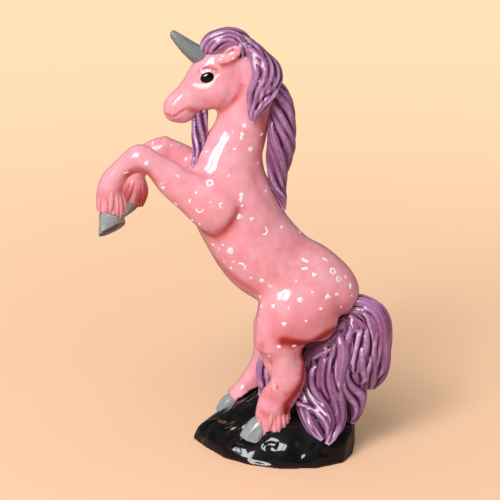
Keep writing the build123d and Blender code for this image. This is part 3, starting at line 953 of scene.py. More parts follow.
def strandMesh(routes, settings, count=48):
    # routes: given rows of x, y, z, half width and half thickness, in millimetres
    edges, columns = [], []
    for number, points in enumerate(routes):
        rows = curvedRoute(points, count)
        heading = unitRows(np.gradient(rows[:, :3], axis=0))
        aside = unitRows(np.cross(heading, (0, 1, 0)))
        edges += [(number * count + n, number * count + n + 1) for n in range(count - 1)]
        columns.append(np.hstack((rows, aside, np.cross(aside, heading))))
    values = np.concatenate(columns)
    mesh = bpy.data.meshes.new("strandRoutes")
    mesh.from_pydata([tuple(place) for place in values[:, :3] / metre], edges, [])
    storeNumber(mesh, "halfWidth", values[:, 3].clip(0.2) / metre)
    storeNumber(mesh, "halfThickness", values[:, 4].clip(0.2) / metre)
    storeVector(mesh, "aside", values[:, 5:8])
    storeVector(mesh, "out", values[:, 8:])
    holder = addObject("strandRoutes", mesh)
    result = grownMesh(holder, strandNodes, settings)
    bpy.data.objects.remove(holder)
    bpy.data.meshes.remove(mesh)
    result.materials.clear()
    return result


def lockRows(shareRows, width, thickness, across):
    # a lock's rows of shares, as in the model, made millimetres
    rows = []
    for xShare, yShare, zShare, widthShare, thicknessShare in shareRows:
        rows.append((
            (xShare + balanceShift) * figureHeight, yShare * across, zShare * figureHeight,
            widthShare * width / 2, thicknessShare * thickness / 2,
        ))
    return rows


def depthsUnder(tree, route, deepest):
    # how far back lies what is under each pixel, evened out, without what lies beyond deepest
    depths = np.full(len(route), np.nan)
    for index, (px, py) in enumerate(route):
        hit = seenAt(tree, px, py)[0]
        if hit is not None and hit.y * metre < deepest:
            depths[index] = hit.y * metre
    known = ~np.isnan(depths)
    places = np.arange(len(route))
    depths = np.interp(places, places[known], depths[known])
    for turn in range(4):
        depths[1:-1] = (depths[:-2] + 2 * depths[1:-1] + depths[2:]) / 4
    return depths


def laidRows(tree, pixels, radius, deepest, pointed):
    # the rows of a strand that lies on a surface along given pixels
    route = curvedRoute(pixels, laidShape["rows"])
    depths = depthsUnder(tree, route, deepest)
    slim, rootDepth, rootShare = laidShape["slim"], laidShape["rootDepth"], laidShape["rootShare"]
    rows = []
    for index, (px, py) in enumerate(route):
        along = index / (len(route) - 1)
        # fullest about the middle and pointed at the tip
        full = math.sin(math.pi * (0.12 + 0.8 * along)) ** 0.7
        size = radius * (slim + (1 - slim) * full) * (1 - pointed * along**6)
        deep = laidShape["sink"] * radius + rootDepth * max(0, 1 - along / rootShare)
        rows.append((*placeAtDepth(px, py, depths[index] + deep), size, size))
    return rows


def backedRows(rows, shift):
    # a strand carried back by shift, less towards its root and its tip
    root, tip = laidShape["backed"]
    backed = []
    for index, (x, y, z, wide, thick) in enumerate(rows):
        along = index / (len(rows) - 1)
        backed.append((x, y + shift * min(1, along / root, (1 - along) / tip), z, wide, thick))
    return backed


# Locks as in the model: the lock's width, thickness and the width that it lies across, its strands
# in the order of lookNames, and rows of x, y, z, width and thickness as shares of these sizes
maneSize = (14.0, 9.0, 17.0)
tailSize = (13.0, 17.0, 36.0)
lookNames = ("Strands", "Twist", "Strand Size", "Spread", "Wander", "Seed")
lockShapes = {
    "forelock": ((10.0, 13.0, 17.0), (8, 0.25, 0.38, 0.68, 0.3, 3), [
        (0.012, -0.024, 0.942, 0.5, 0.6), (-0.004, -0.047, 0.964, 0.9, 0.95),
        (-0.027, -0.071, 0.975, 1.0, 1.0), (-0.052, -0.071, 0.972, 0.96, 0.95),
        (-0.074, -0.047, 0.961, 0.78, 0.8), (-0.09, -0.024, 0.95, 0.36, 0.42),
    ]),
    "mane_crest_lock": (maneSize, (7, 0.2, 0.4, 0.66, 0.3, 5), [
        (-0.005, 0.0, 0.962, 0.4, 0.55), (0.015, 0.0, 0.952, 0.6, 0.85),
        (0.033, 0.012, 0.934, 0.66, 1.0), (0.048, 0.024, 0.908, 0.66, 1.05),
        (0.058, 0.035, 0.876, 0.6, 1.05), (0.062, 0.035, 0.845, 0.4, 0.8),
    ]),
    "mane_curl_lock": (maneSize, (8, 0.3, 0.34, 0.7, 0.2, 8), [
        (0.006, -0.18, 0.956, 0.24, 0.36), (0.025, -0.4, 0.945, 0.35, 0.5),
        (0.043, -0.471, 0.915, 0.7, 0.75), (0.049, -0.529, 0.88, 0.85, 0.8),
        (0.04, -0.588, 0.848, 0.8, 0.75), (0.025, -0.624, 0.822, 0.52, 0.55),
        (0.02, -0.612, 0.798, 0.16, 0.2),
    ]),
    "mane_far_lock": (maneSize, (8, -0.3, 0.34, 0.7, 0.2, 9), [
        (0.006, 0.18, 0.956, 0.24, 0.36), (0.025, 0.4, 0.945, 0.35, 0.5),
        (0.045, 0.471, 0.912, 0.7, 0.75), (0.056, 0.529, 0.87, 0.8, 0.8),
        (0.056, 0.565, 0.826, 0.7, 0.7), (0.045, 0.576, 0.785, 0.45, 0.5),
        (0.035, 0.565, 0.755, 0.14, 0.2),
    ]),
    "mane_long_lock": (maneSize, (7, 1.1, 0.4, 0.66, 0.2, 12), [
        (0.06, -0.071, 0.89, 0.3, 0.6), (0.076, -0.094, 0.858, 0.68, 0.95),
        (0.088, -0.118, 0.818, 0.88, 1.15), (0.0865, -0.141, 0.77, 0.98, 1.2),
        (0.0835, -0.165, 0.72, 1.0, 1.15), (0.0785, -0.165, 0.68, 0.78, 1.05),
        (0.078, -0.165, 0.645, 0.58, 0.9), (0.088, -0.141, 0.615, 0.36, 0.55),
        (0.093, -0.118, 0.583, 0.14, 0.2),
    ]),
    "beard": ((9.0, 6.0, 16.0), (6, 0.35, 0.4, 0.66, 0.15, 15), [
        (-0.095, 0.0, 0.818, 0.75, 0.9), (-0.0975, -0.05, 0.79, 0.95, 1.0),
        (-0.0985, -0.15, 0.76, 0.92, 1.0), (-0.101, -0.3, 0.733, 0.66, 0.85),
        (-0.109, -0.45, 0.707, 0.36, 0.55), (-0.119, -0.537, 0.686, 0.12, 0.2),
    ]),
    "tail_outer_lock": (tailSize, (6, 0.12, 0.44, 0.66, 0.3, 21), [
        (0.242, -0.011, 0.348, 0.6, 0.6), (0.274, -0.022, 0.346, 0.88, 0.85),
        (0.302, -0.039, 0.322, 1.04, 1.0), (0.311, -0.056, 0.275, 1.08, 1.05),
        (0.31, -0.078, 0.225, 1.04, 1.0), (0.305, -0.1, 0.182, 0.84, 0.75),
        (0.298, -0.122, 0.148, 0.34, 0.32),
    ]),
    "tail_middle_lock": (tailSize, (6, 0.2, 0.44, 0.68, 0.35, 24), [
        (0.245, -0.056, 0.328, 0.6, 0.55), (0.264, -0.111, 0.29, 0.98, 0.9),
        (0.268, -0.156, 0.23, 1.04, 0.95), (0.263, -0.2, 0.17, 0.94, 0.85),
        (0.264, -0.222, 0.115, 0.74, 0.7), (0.258, -0.233, 0.068, 0.28, 0.3),
    ]),
    "tail_long_lock": (tailSize, (6, 0.18, 0.44, 0.68, 0.3, 27), [
        (0.22, -0.078, 0.308, 0.6, 0.55), (0.23, -0.178, 0.26, 0.96, 0.85),
        (0.222, -0.244, 0.2, 1.0, 0.9), (0.216, -0.311, 0.14, 0.94, 0.8),
        (0.219, -0.45, 0.094, 0.72, 0.6), (0.206, -0.62, 0.068, 0.48, 0.42),
        (0.192, -0.71, 0.05, 0.18, 0.2),
    ]),
    "tail_sweep_lock": (tailSize, (6, 0.2, 0.4, 0.62, 0.2, 30), [
        (0.178, -0.056, 0.264, 0.5, 0.46), (0.166, -0.111, 0.23, 0.66, 0.56),
        (0.158, -0.156, 0.195, 0.68, 0.58), (0.149, -0.211, 0.16, 0.64, 0.56),
        (0.142, -0.3, 0.126, 0.58, 0.5), (0.151, -0.528, 0.1, 0.5, 0.46),
        (0.169, -0.639, 0.075, 0.4, 0.38), (0.184, -0.683, 0.059, 0.2, 0.2),
    ]),
    "tail_inner_lock": (tailSize, (6, 0.2, 0.44, 0.66, 0.25, 33), [
        (0.2, -0.067, 0.295, 0.6, 0.5), (0.196, -0.156, 0.25, 0.84, 0.75),
        (0.185, -0.211, 0.2, 0.86, 0.75), (0.178, -0.278, 0.15, 0.84, 0.66),
        (0.188, -0.5, 0.104, 0.66, 0.54), (0.198, -0.611, 0.07, 0.32, 0.32),
    ]),
    "tail_far_lock": (tailSize, (6, -0.25, 0.44, 0.7, 0.3, 36), [
        (0.235, 0.056, 0.32, 0.55, 0.5), (0.235, 0.167, 0.26, 0.95, 0.85),
        (0.22, 0.222, 0.195, 1.0, 0.9), (0.205, 0.244, 0.13, 0.95, 0.8),
        (0.205, 0.256, 0.075, 0.7, 0.6),
    ]),
    "tail_under_lock": (tailSize, (7, 0.2, 0.34, 0.66, 0.25, 39), [
        (0.19, 0.144, 0.285, 0.6, 0.45), (0.135, 0.111, 0.235, 0.85, 0.5),
        (0.095, 0.056, 0.195, 0.9, 0.45), (0.065, 0.044, 0.16, 0.8, 0.4),
        (0.05, 0.044, 0.115, 0.6, 0.35),
    ]),
}
locks = {}
for name, (size, look, shareRows) in lockShapes.items():
    locks[name] = dict(zip(lookNames, look), rows=lockRows(shareRows, *size))

hairSettings = {
    "voxel": 0.42,
    "coreShrink": 0.8,       # how far the core is drawn in under its strands
    "rounds": 5,
    "fill": 0.35,            # share of each hollow that is filled
    "groove": (10, 0.17), "poolAndShade": (60, 0.9),
    "layers": {"maneCurlLock": 4, "maneCrestLock": 2, "tailFarLocks": 2},
    "farDark": (18, 24),     # lengthwise, where the dark of the far tail locks sets in
}
# Dark glaze by piece, else by part: the least, how much more below, and the heights between
hairDepth = {
    "mane": (0.1, 0, 0, 1), "maneCrestLock": (0.35, 0, 0, 1), "beard": (0.8, 0, 0, 1),
    "maneLongLock": (0.3, 0.4, 125, 165),
    "tail": (0.15, 0.5, 18, 60), "tailFarLocks": (0.15, 0.7, 60, 72),
}
hairPieces = {
    "forelock": ["forelock"],
    "maneCrestLock": ["mane_crest_lock"],
    "maneCurlLock": ["mane_curl_lock"],
    "maneFarLock": ["mane_far_lock"],
    "maneLongLock": ["mane_long_lock"],
    "beard": ["beard"],
    "tailOuterLock": ["tail_outer_lock"],
    "tailMiddleLock": ["tail_middle_lock"],
    "tailFrontLocks": ["tail_long_lock", "tail_sweep_lock", "tail_inner_lock"],
    "tailFarLocks": ["tail_far_lock", "tail_under_lock"],
}
# Single strands laid over the locks along routes read from the photograph: pixels, then radius
laidStrands = {
    "forelock": [
        ([(203, 55), (203.5, 46), (209, 39), (217, 34.5), (228, 32.5), (238, 35), (244, 41)], 1.45),
        ([(205.5, 55.5), (207.5, 48), (213, 41), (220, 37.5), (229, 35.5), (238, 38.5), (243, 46)], 1.0),
        ([(209, 56), (212, 48), (217.5, 42.5), (224, 40), (232, 40), (238, 43.5)], 1.3),
        ([(214, 54), (219, 48.5), (225, 44.5), (231, 43), (237, 44)], 0.8),
        ([(201.5, 50), (203, 41), (210, 34), (219, 31), (230, 29.5)], 1.0),
        ([(210, 55), (217, 52), (224, 48), (231, 45.5), (238, 45)], 1.3),
        ([(207, 55.5), (213, 52.5), (220, 49), (228, 46)], 1.1),
    ],
    "maneCrestLock": [
        ([(239, 43), (242, 50), (243, 56), (242, 61)], 0.9),
        ([(242, 41), (246, 49), (247.5, 56), (247, 62)], 0.9),
        ([(245, 38), (251, 43), (256, 48), (260, 53)], 1.2),
        ([(243, 36), (248, 40), (253, 42), (258, 48)], 1.0),
    ],
    "maneCurlLock": [
        ([(247, 47), (252, 55), (255, 63), (257, 71), (256.5, 79), (253.5, 87), (251, 95),
            (250.6, 103), (251.6, 111), (253.5, 119)], 2.3),
        ([(252, 43), (258.5, 52), (262.5, 61), (265, 69), (264.5, 78), (261, 86), (257.5, 93),
            (255.5, 102), (255.5, 109)], 1.7),
        ([(255, 44), (262.5, 53), (268, 61), (270.8, 69), (270, 78), (266, 87), (261, 94),
            (257, 100)], 1.5),
        ([(259, 47), (266, 55), (273.5, 63), (277, 71), (276.5, 80), (272, 88), (266.5, 94)], 1.4),
        ([(263, 52), (269, 57), (277, 66), (280.5, 75), (280, 83), (276.5, 89.5)], 1.2),
        ([(278, 86), (275, 93), (270.5, 98.5), (265.5, 103.5), (261, 109), (258, 113.5)], 1.2),
    ],
    "tailOuterLock": [
        ([(360, 310), (369, 304), (379, 308), (386, 320), (387.5, 338), (385.5, 356), (381, 371),
            (373, 381)], 2.4),
        ([(358, 312), (367, 309), (375, 315), (380, 328), (380, 346), (377, 362), (372, 374)], 1.8),
        ([(360, 313), (367, 316), (371, 327), (373.5, 341), (373, 350)], 1.5),
        ([(379, 324), (376, 337), (374, 350), (374, 362), (370, 374)], 1.6),
        ([(370, 352), (369, 364), (366, 374), (367, 381)], 1.9),
    ],
    "tailMiddleLock": [
        ([(362, 326), (358, 338), (355, 350), (353, 362), (353, 372)], 1.6),
        ([(365, 326), (366, 336), (365, 348), (361, 360), (358, 372)], 1.9),
        ([(363, 345), (362, 356), (362, 367), (364, 378), (361, 384)], 1.9),
        ([(347, 366), (346, 378), (352, 387), (360, 394), (362, 402), (359, 411), (353, 419)], 2.1),
        ([(343, 372), (343, 386), (349, 396), (355, 404), (356, 412), (352, 420)], 1.9),
    ],
    "tailFrontLocks": [
        ([(352, 318), (350, 332), (345, 345), (341, 356), (337, 368), (336, 380), (339, 394),
            (341, 408), (340.5, 420), (338, 431), (334, 440.5)], 2.2),
        ([(346, 322), (344, 334), (336, 346), (332, 358), (330, 372), (331, 386), (335, 400),
            (337, 414), (335, 429), (331.5, 441.5)], 2.1),
        ([(341, 334), (332, 348), (324, 353), (316, 357), (310, 361)], 1.5),
        ([(330, 352), (325, 362), (323, 374), (323.5, 386), (328, 396), (334, 408), (335, 420)], 1.8),
        ([(318, 364), (312.5, 373), (313, 386), (319, 398), (328, 409), (332.5, 422), (330, 441)], 2.0),
        ([(311, 366), (307, 377), (308, 390), (314, 401), (323, 411), (329, 420), (328.5, 438)], 1.8),
        ([(305, 374), (302, 385), (304, 395), (311, 404), (320, 412), (325, 421)], 1.5),
        ([(294, 399), (301, 405), (311, 409), (320, 415), (326, 423), (328, 431), (327, 439)], 1.7),
        ([(298, 393), (304, 400), (313, 406.5), (322, 413)], 1.4),
    ],
    "tailFarLocks": [
        ([(346, 321), (338, 330), (328, 336), (316, 341), (306, 347)], 2.2),
        ([(344, 326), (334, 337), (323, 343), (312, 348), (303, 356)], 2.2),
        ([(338, 334), (327, 343), (317, 350), (308, 357), (304, 366)], 2.5),
        ([(330, 340), (320, 348), (311, 354), (305, 364), (302, 374)], 2.5),
        ([(266, 354), (262, 361), (260, 371), (261.5, 382), (264, 391)], 2.0),
        ([(268, 363), (267, 371), (268, 380), (267, 388)], 1.5),
    ],
}
# Deep partings in the locks: pixel route, width and depth
partings = {
    "maneCurlLock": [([(256, 113), (257, 107), (261, 101), (266, 96.5), (272, 92)], 0.8, 0.5)],
    "tailOuterLock": [([(357, 311), (363, 318), (368, 330), (370.5, 345), (368, 360),
        (363, 372)], 0.9, 0.8)],
    "tailMiddleLock": [([(355, 330), (353, 345), (350, 360), (349, 372)], 1.0, 0.8)],
    "tailFrontLocks": [([(334, 356), (333, 370), (335, 384), (340, 396)], 0.9, 0.7)],
}
laidSettings = {
    "Strands": 1, "Twist": 0.0, "Spread": 0.0, "Strand Size": 1.0, "Wander": 0.0, "Sides": 12,
}
laidShape = {
    "rows": 14,
    "mane": (0.0, 0.6),      # furthest back that a strand can lie, and how pointed its tip is
    "tail": (6.0, 0.5),
    "slim": 0.45,            # radius at the ends, as a share of the full one
    "sink": 0.5,             # how deep a strand is let in, as a share of its radius
    "rootDepth": 1.6,        # how much deeper its root lies
    "rootShare": 0.14,       # share of its length over which it comes up from there
    "layerStep": 1.3,        # how far apart its layers are, in radii
    "layerMost": 1.5,        # largest radius that counts for that
    "backed": (0.4, 0.3),    # shares of its length at root and tip over which layers part
}


def partOf(name):
    return "tail" if name.startswith("tail") else "mane"


def deepShare(name, places):
    # darker lower down, by piece, and on the far tail locks only behind the leg
    least, more, low, high = hairDepth[name if name in hairDepth else partOf(name)]
    share = more * (1 - easedStep(places[:, 2], low, high))
    if name == "tailFarLocks":
        share = share * easedStep(places[:, 0], *hairSettings["farDark"])
    return least + share


def laidMeshes(name, trees):
    # the single strands of a piece, in one mesh, or none
    part = partOf(name)
    layers = hairSettings["layers"].get(name, 1)
    laid = []
    for pixels, radius in laidStrands.get(name, []):
        rows = laidRows(trees[part], pixels, radius, *laidShape[part])
        step = laidShape["layerStep"] * min(radius, laidShape["layerMost"])
        laid += [backedRows(rows, step * layer) for layer in range(layers)]
    return [strandMesh(laid, laidSettings, count=36)] if laid else []


def buildHair():
    finish = hairGlaze()
    everyLock = [nodeName for nodeNames in hairPieces.values() for nodeName in nodeNames]
    trees = {}
    for part, nodeNames in {"tail": everyLock, "mane": everyLock + ["head", "neck"]}.items():
        whole = meltTogether("wholeHair", nodeNames, voxel=0.7)
        trees[part] = treeOf(whole.data)
        bpy.data.objects.remove(whole)
    for name, nodeNames in hairPieces.items():
        extras = [strandMesh([locks[nodeName]["rows"]], locks[nodeName]) for nodeName in nodeNames]
        extras += laidMeshes(name, trees)
        piece = meltTogether(
            name, nodeNames, hairSettings["voxel"], hairSettings["coreShrink"], extras)
        mesh = piece.data
        outerShell(mesh)
        smoothMesh(mesh, rounds=2)
        fillHollows(mesh, 6, 1, shareAt=lambda places: hairSettings["fill"])
        places, normals = readPlaces(mesh), readNormals(mesh)
        for pixels, width, depth in partings.get(name, []):
            places = carve(places, normals, castRoute(treeOf(mesh), pixels), width, depth)
        writePlaces(mesh, places)
        smoothMesh(mesh, hairSettings["rounds"])
        storeHollows(mesh, hairSettings)
        storeNumber(mesh, "deep", deepShare(name, readPlaces(mesh)))
        settle(piece, nodeNames, finish)
        for extra in extras:
            bpy.data.meshes.remove(extra)


buildHair()

# Feathered fetlocks: strands that hang round the lower leg, fused at the skin
tuftSettings = {
    "voxel": 0.3,
    "slim": (0.4, 0.6, 0.78, 0.92, 1.0, 0.8, 0.25),      # a strand's radius from root to tip
    "searchFrom": 16.0,      # how far from a leg's axis the search for its skin begins
    "legReach": (2.0, 8.5),  # how far from the axis the skin can lie
    "usualReach": 5.0,
    "largestStep": 1.5,      # a larger change than this from row to row is a miss
    "groove": (6, 0.10),
    "sunkDark": (-0.1, 0.5), # heights over the skin between which the dark thins out
    "tipDark": (0.3, 0.75),  # shares of the length between which it sets in
    "blushAlong": (0.1, 0.9),
    "seed": 40,
    # how far the strands' own values are drawn from those of their tuft
    "spacing": 0.28, "late": 0.3, "tip": 0.07, "sizes": (0.75, 1.12), "lean": 1.5, "bend": 0.1,
    "sunk": 0.35, "rootSunk": 0.9,     # how deep a strand lies in the skin, in radii
}


def skinReach(tree, centre, outward, last):
    # how far from a leg's axis its skin lies, or the reach before it where none is found
    begin = centre + outward * tuftSettings["searchFrom"]
    hit = tree.ray_cast(begin * millimetre, -outward)[0]
    if hit is not None:
        reach = (hit * metre - centre).dot(outward)
        nearest, furthest = tuftSettings["legReach"]
        steady = not last or abs(reach - last) <= tuftSettings["largestStep"]
        if nearest < reach < furthest and steady:
            return reach
    return last or tuftSettings["usualReach"]


def tuftRoutes(tree, settings, draw):
    top, foot = Vector(settings["top"]), Vector(settings["foot"])
    axis = foot - top
    length = axis.length
    axis.normalize()
    pointing = Vector(settings["pointing"])
    pointing = (pointing - axis * pointing.dot(axis)).normalized()
    aside = axis.cross(pointing)
    slim, spacing, tip = tuftSettings["slim"], tuftSettings["spacing"], tuftSettings["tip"]
    leaning, bending = tuftSettings["lean"], tuftSettings["bend"]
    routes = []
    count = settings["count"]
    for number in range(count):
        share = (number + draw.uniform(-spacing, spacing)) / (count - 1) * 2 - 1
        angle = math.radians(settings["arc"]) * share
        back = 0.5 + 0.5 * math.cos(angle)
        begin = settings["start"] + draw.uniform(0, tuftSettings["late"]) * (1 - back * 0.6)
        finish = settings["reach"] + draw.uniform(-tip, tip)
        radius = settings["size"] * draw.uniform(*tuftSettings["sizes"])
        lean = settings["lean"] * draw.uniform(-leaning, leaning)
        bend = draw.uniform(-bending, bending)
        rows, reach = [], None
        for step, size in enumerate(slim):
            along = begin + (finish - begin) * step / (len(slim) - 1)
            turn = angle + lean * along + bend * math.sin(math.pi * along)
            outward = pointing * math.cos(turn) + aside * math.sin(turn)
            centre = top + axis * (length * along)
            reach = skinReach(tree, centre, outward, reach)
            lift = settings["flare"] * max(along, 0) ** 2 * (0.4 + 0.6 * back)
            rooted = max(0, 1 - step / 4)
            lift -= radius * (tuftSettings["sunk"] + tuftSettings["rootSunk"] * rooted)
            rows.append((*(centre + outward * (reach + lift)), radius * size, radius * size))
        routes.append(rows)
    return routes


def heightOver(tree, places):
    # how far each place stands out of a surface
    height = np.zeros(len(places))
    for index, place in enumerate(places):
        spot = Vector(place / metre)
        near, facing, *rest = tree.find_nearest(spot)
        height[index] = (spot - near).dot(facing) * metre
    return height


def buildTufts():
    tree = treeOf(skin.data)
    for number, (name, settings) in enumerate(fetlocks.items()):
        draw = np.random.default_rng(tuftSettings["seed"] + number)
        strands = strandMesh(tuftRoutes(tree, settings, draw), laidSettings, count=30)
        piece = meltTogether(name, [], tuftSettings["voxel"], extras=[strands])
        mesh = piece.data
        smoothMesh(mesh, rounds=5)
        storeHollows(mesh, tuftSettings)
        places = readPlaces(mesh)
        top, foot = np.array(settings["top"]), np.array(settings["foot"])
        along = (places - top) @ (foot - top) / ((foot - top) @ (foot - top))
        # painted shade: darker where strands sink into the skin and towards their tips
        sunk = 1 - easedStep(heightOver(tree, places), *tuftSettings["sunkDark"])
        storeNumber(mesh, "poolAndShade", sunk * easedStep(along, *tuftSettings["tipDark"]))
        storeUnder(mesh)
        storeNumber(mesh, "white", np.zeros(len(places)))
        # coral and painted shade towards the tips, as much as the tuft's blush
        blush = settings["blush"] * easedStep(along, *tuftSettings["blushAlong"])
        storeNumber(mesh, "sprayAndShade", blush)
        settle(piece, [], bodySurface)
        bpy.data.meshes.remove(strands)


buildTufts()

# Small pieces: eyes, horn and hooves
smallPieces = {
    # name: node, slot, voxel, rounds of smoothing
    "leftEye": ("left_eye", "eye_glaze", 0.2, 3),
    "rightEye": ("right_eye", "eye_glaze", 0.2, 3),
    "horn": ("horn", "hoof_glaze", 0.4, 8),
    "leftForeHoof": ("left_fore_hoof", "hoof_glaze", 0.3, 3),
    "rightForeHoof": ("right_fore_hoof", "hoof_glaze", 0.3, 3),
    "leftHindHoof": ("left_hind_hoof", "hoof_glaze", 0.3, 3),
    "rightHindHoof": ("right_hind_hoof", "hoof_glaze", 0.3, 3),
}
eyeSettings = {"slant": (1.0, -0.36), "length": 1.14, "height": 1.12}
hornSettings = {"swell": 0.5}          # how much thicker the tip is made
hoofSettings = {
    "wave": 0.08, "waveScale": 4.0,    # the uneven modelling, on the horn too
    "sole": (0.75, 0.92),              # how squarely a face has to look down to be bare clay
    "groove": (8, 0.12),
}
# Hind hooves drawn in a little about a point: the point, the scale and a shift
hoofFits = {
    "leftHindHoof": ((10.0, -14.0, 14.0), 0.93, (0.9, 0.0, 0.3)),
    "rightHindHoof": ((-6.0, 12.0, 15.0), 0.86, (0.3, 0.0, 0.0)),
}
soleFacing = {"leftForeHoof": (0.45, -0.42, -0.80), "rightForeHoof": (0.55, -0.25, -0.80)}
# Flats of the hooves: the way each faces, and how much it takes off the widest place there
hoofFlats = {
    "leftForeHoof": [((-0.75, -0.66, -0.1), 0.35), ((0.1, -1.0, -0.1), 0.4), ((0.75, -0.6, 0.0), 0.4)],
    "rightForeHoof": [((-0.75, -0.66, -0.1), 0.35), ((0.1, -1.0, -0.1), 0.4)],
    "leftHindHoof": [
        ((-0.80, -0.55, 0.25), 0.9), ((0.0, -0.97, 0.22), 0.8), ((0.70, -0.68, 0.2), 0.7),
        ((-0.9, 0.35, 0.3), 0.7),
    ],
    "rightHindHoof": [((-0.85, -0.45, 0.3), 0.7), ((0.0, -0.95, 0.3), 0.7), ((-0.8, 0.5, 0.3), 0.6)],
}


def widenEye(places):
    # stretches the eye along its slant in the photograph
    along, up = eyeSettings["slant"]
    offset = places - places.mean(axis=0)
    for way, scale in (((along, 0, -up), "length"), ((up, 0, along), "height")):
        way = unit(way)
        places = places + (eyeSettings[scale] - 1) * (offset @ way)[:, None] * way
    return places


def swellTip(places):
    # the horn tapers to a blunt tip
    tip = places[places[:, 0].argmin()]
    root = places[places[:, 0] > np.quantile(places[:, 0], 0.9)].mean(axis=0)
    axis = unit(tip - root)
    reach = (places - root) @ axis
    along = (reach / np.linalg.norm(tip - root)).clip(0, 1)
    beside = (places - root) - reach[:, None] * axis
    return places + beside * (hornSettings["swell"] * along)[:, None]


def flatten(places, facing, taken):
    reach = places @ unit(facing)
    over = (reach - (reach.max() - taken)).clip(0)
    return places - unit(facing) * over[:, None]


def buildSmallPieces():
    finishes = {"eye_glaze": eyeGlaze(), "hoof_glaze": hoofGlaze()}
    for name, (nodeName, slotName, voxel, rounds) in smallPieces.items():
        piece = meltTogether(name, [nodeName], voxel)
        mesh = piece.data
        smoothMesh(mesh, rounds)
        places = readPlaces(mesh)
        if slotName == "eye_glaze":
            places = widenEye(places)
        if name == "horn":
            places = swellTip(places)
        if name in hoofFits:
            point, scale, shift = (np.array(value) for value in hoofFits[name])
            places = point + (places - point) * scale + shift
        for facing, taken in hoofFlats.get(name, []):
            places = flatten(places, facing, taken)
        writePlaces(mesh, places)
        smoothMesh(mesh, rounds=1)
        places, normals = readPlaces(mesh), readNormals(mesh)
        if slotName == "hoof_glaze":
            wave = hoofSettings["wave"] * noiseAt(places, hoofSettings["waveScale"])
            writePlaces(mesh, places + normals * wave[:, None])
        storeHollows(mesh, hoofSettings)
        sole = np.zeros(len(places))
        if name in soleFacing:
            sole = easedStep(normals @ unit(soleFacing[name]), *hoofSettings["sole"])
        storeNumber(mesh, "sole", sole)
        storeNumber(mesh, "dusk", np.full(len(places), float(name == "horn")))
        settle(piece, [nodeName], finishes[slotName])


buildSmallPieces()

# Rock base
rockSettings = {
    "voxel": 0.6,
    "bump": 1.3, "bumpScale": 13.0,
    "ripple": 0.26, "rippleScale": 4.2,
    "softRounds": 90, "givenBack": 0.8,
    "footKept": (0.5, 4.0),  # heights between which the softening sets in
    "outer": (0.05, 0.3),    # how far a face looks up or out before it is worked
    "aboveFoot": (0.4, 2.5), # heights between which the working sets in
    "front": (-12, 6),       # lengthwise, where the finer ripples die away
    "lineFade": 0.15,        # share of a copper line over which it thins out at either end
    "topBehind": 6.0,        # how far behind the middle of the figure's box the rock is highest
    "rimHeight": 1.5,
}
# Gullies and copper lines on the rock by pixel route: width and depth, or width alone
rockGullies = [
    ([(216, 421), (212, 426), (207, 433), (203, 441)], 0.9, 0.6),
    ([(214, 420), (222, 424), (231, 423)], 0.8, 0.5),
    ([(226, 436), (232, 430), (240, 427)], 0.9, 0.5),
    ([(230, 447), (236, 441), (243, 439)], 1.0, 0.6),
    ([(238, 414), (244, 406), (252, 401)], 1.0, 0.6),
    ([(246, 402), (252, 396), (257, 391)], 0.8, 0.5),
    ([(199, 428), (196, 434), (196, 440)], 0.9, 0.4),
    ([(262, 448), (270, 444), (278, 446)], 1.6, 0.6),
    ([(292, 440), (298, 452), (304, 458)], 1.8, 0.6),
    ([(312, 444), (322, 452), (330, 455)], 2.0, 0.5),
]
copperLines = [
    ([(216, 421), (212, 426), (207, 432.5), (203, 440), (199, 444)], 0.35),
    ([(217, 421), (221, 421), (225, 424), (231, 423), (236, 421)], 0.35),
    ([(217, 420), (222, 421.5), (227, 422)], 0.5),
    ([(208, 417), (212, 415), (216, 414)], 0.5),
    ([(227, 435), (233, 430), (241, 428)], 0.3),
    ([(207, 421), (212, 419), (219, 417.5)], 0.4),
    ([(247, 401), (252, 397), (256, 392)], 0.35),
    ([(232, 409), (238, 404), (244, 400)], 0.4),
    ([(236, 444), (241, 439), (247, 438)], 0.3),
    ([(224, 428), (229, 427), (233, 425)], 0.25),
]


def outerShare(places, normals):
    # 1 on the rock's top and sides, 0 in its hollow and at the foot rim
    middle = (cadBox[0] + cadBox[1]) / 2 * metre
    radial = places - np.array((middle.x + rockSettings["topBehind"], middle.y, 0))
    radial[:, 2] = 0
    facing = np.maximum(normals[:, 2], (normals * unitRows(radial)).sum(axis=1) * 0.8)
    worked = easedStep(places[:, 2], *rockSettings["aboveFoot"])
    return easedStep(facing, *rockSettings["outer"]) * worked


def rockRelief(places):
    # height of the lumps all over and of the finer ripples in front
    scale = rockSettings["bumpScale"]
    bump = np.array([noise.multi_fractal(Vector(place / scale), 1.2, 2.0, 1.2) for place in places])
    front = 1 - easedStep(places[:, 0], *rockSettings["front"])
    ripple = noiseAt(places, rockSettings["rippleScale"]) * front
    return rockSettings["bump"] * (bump - 1).clip(-1, 1) + rockSettings["ripple"] * ripple


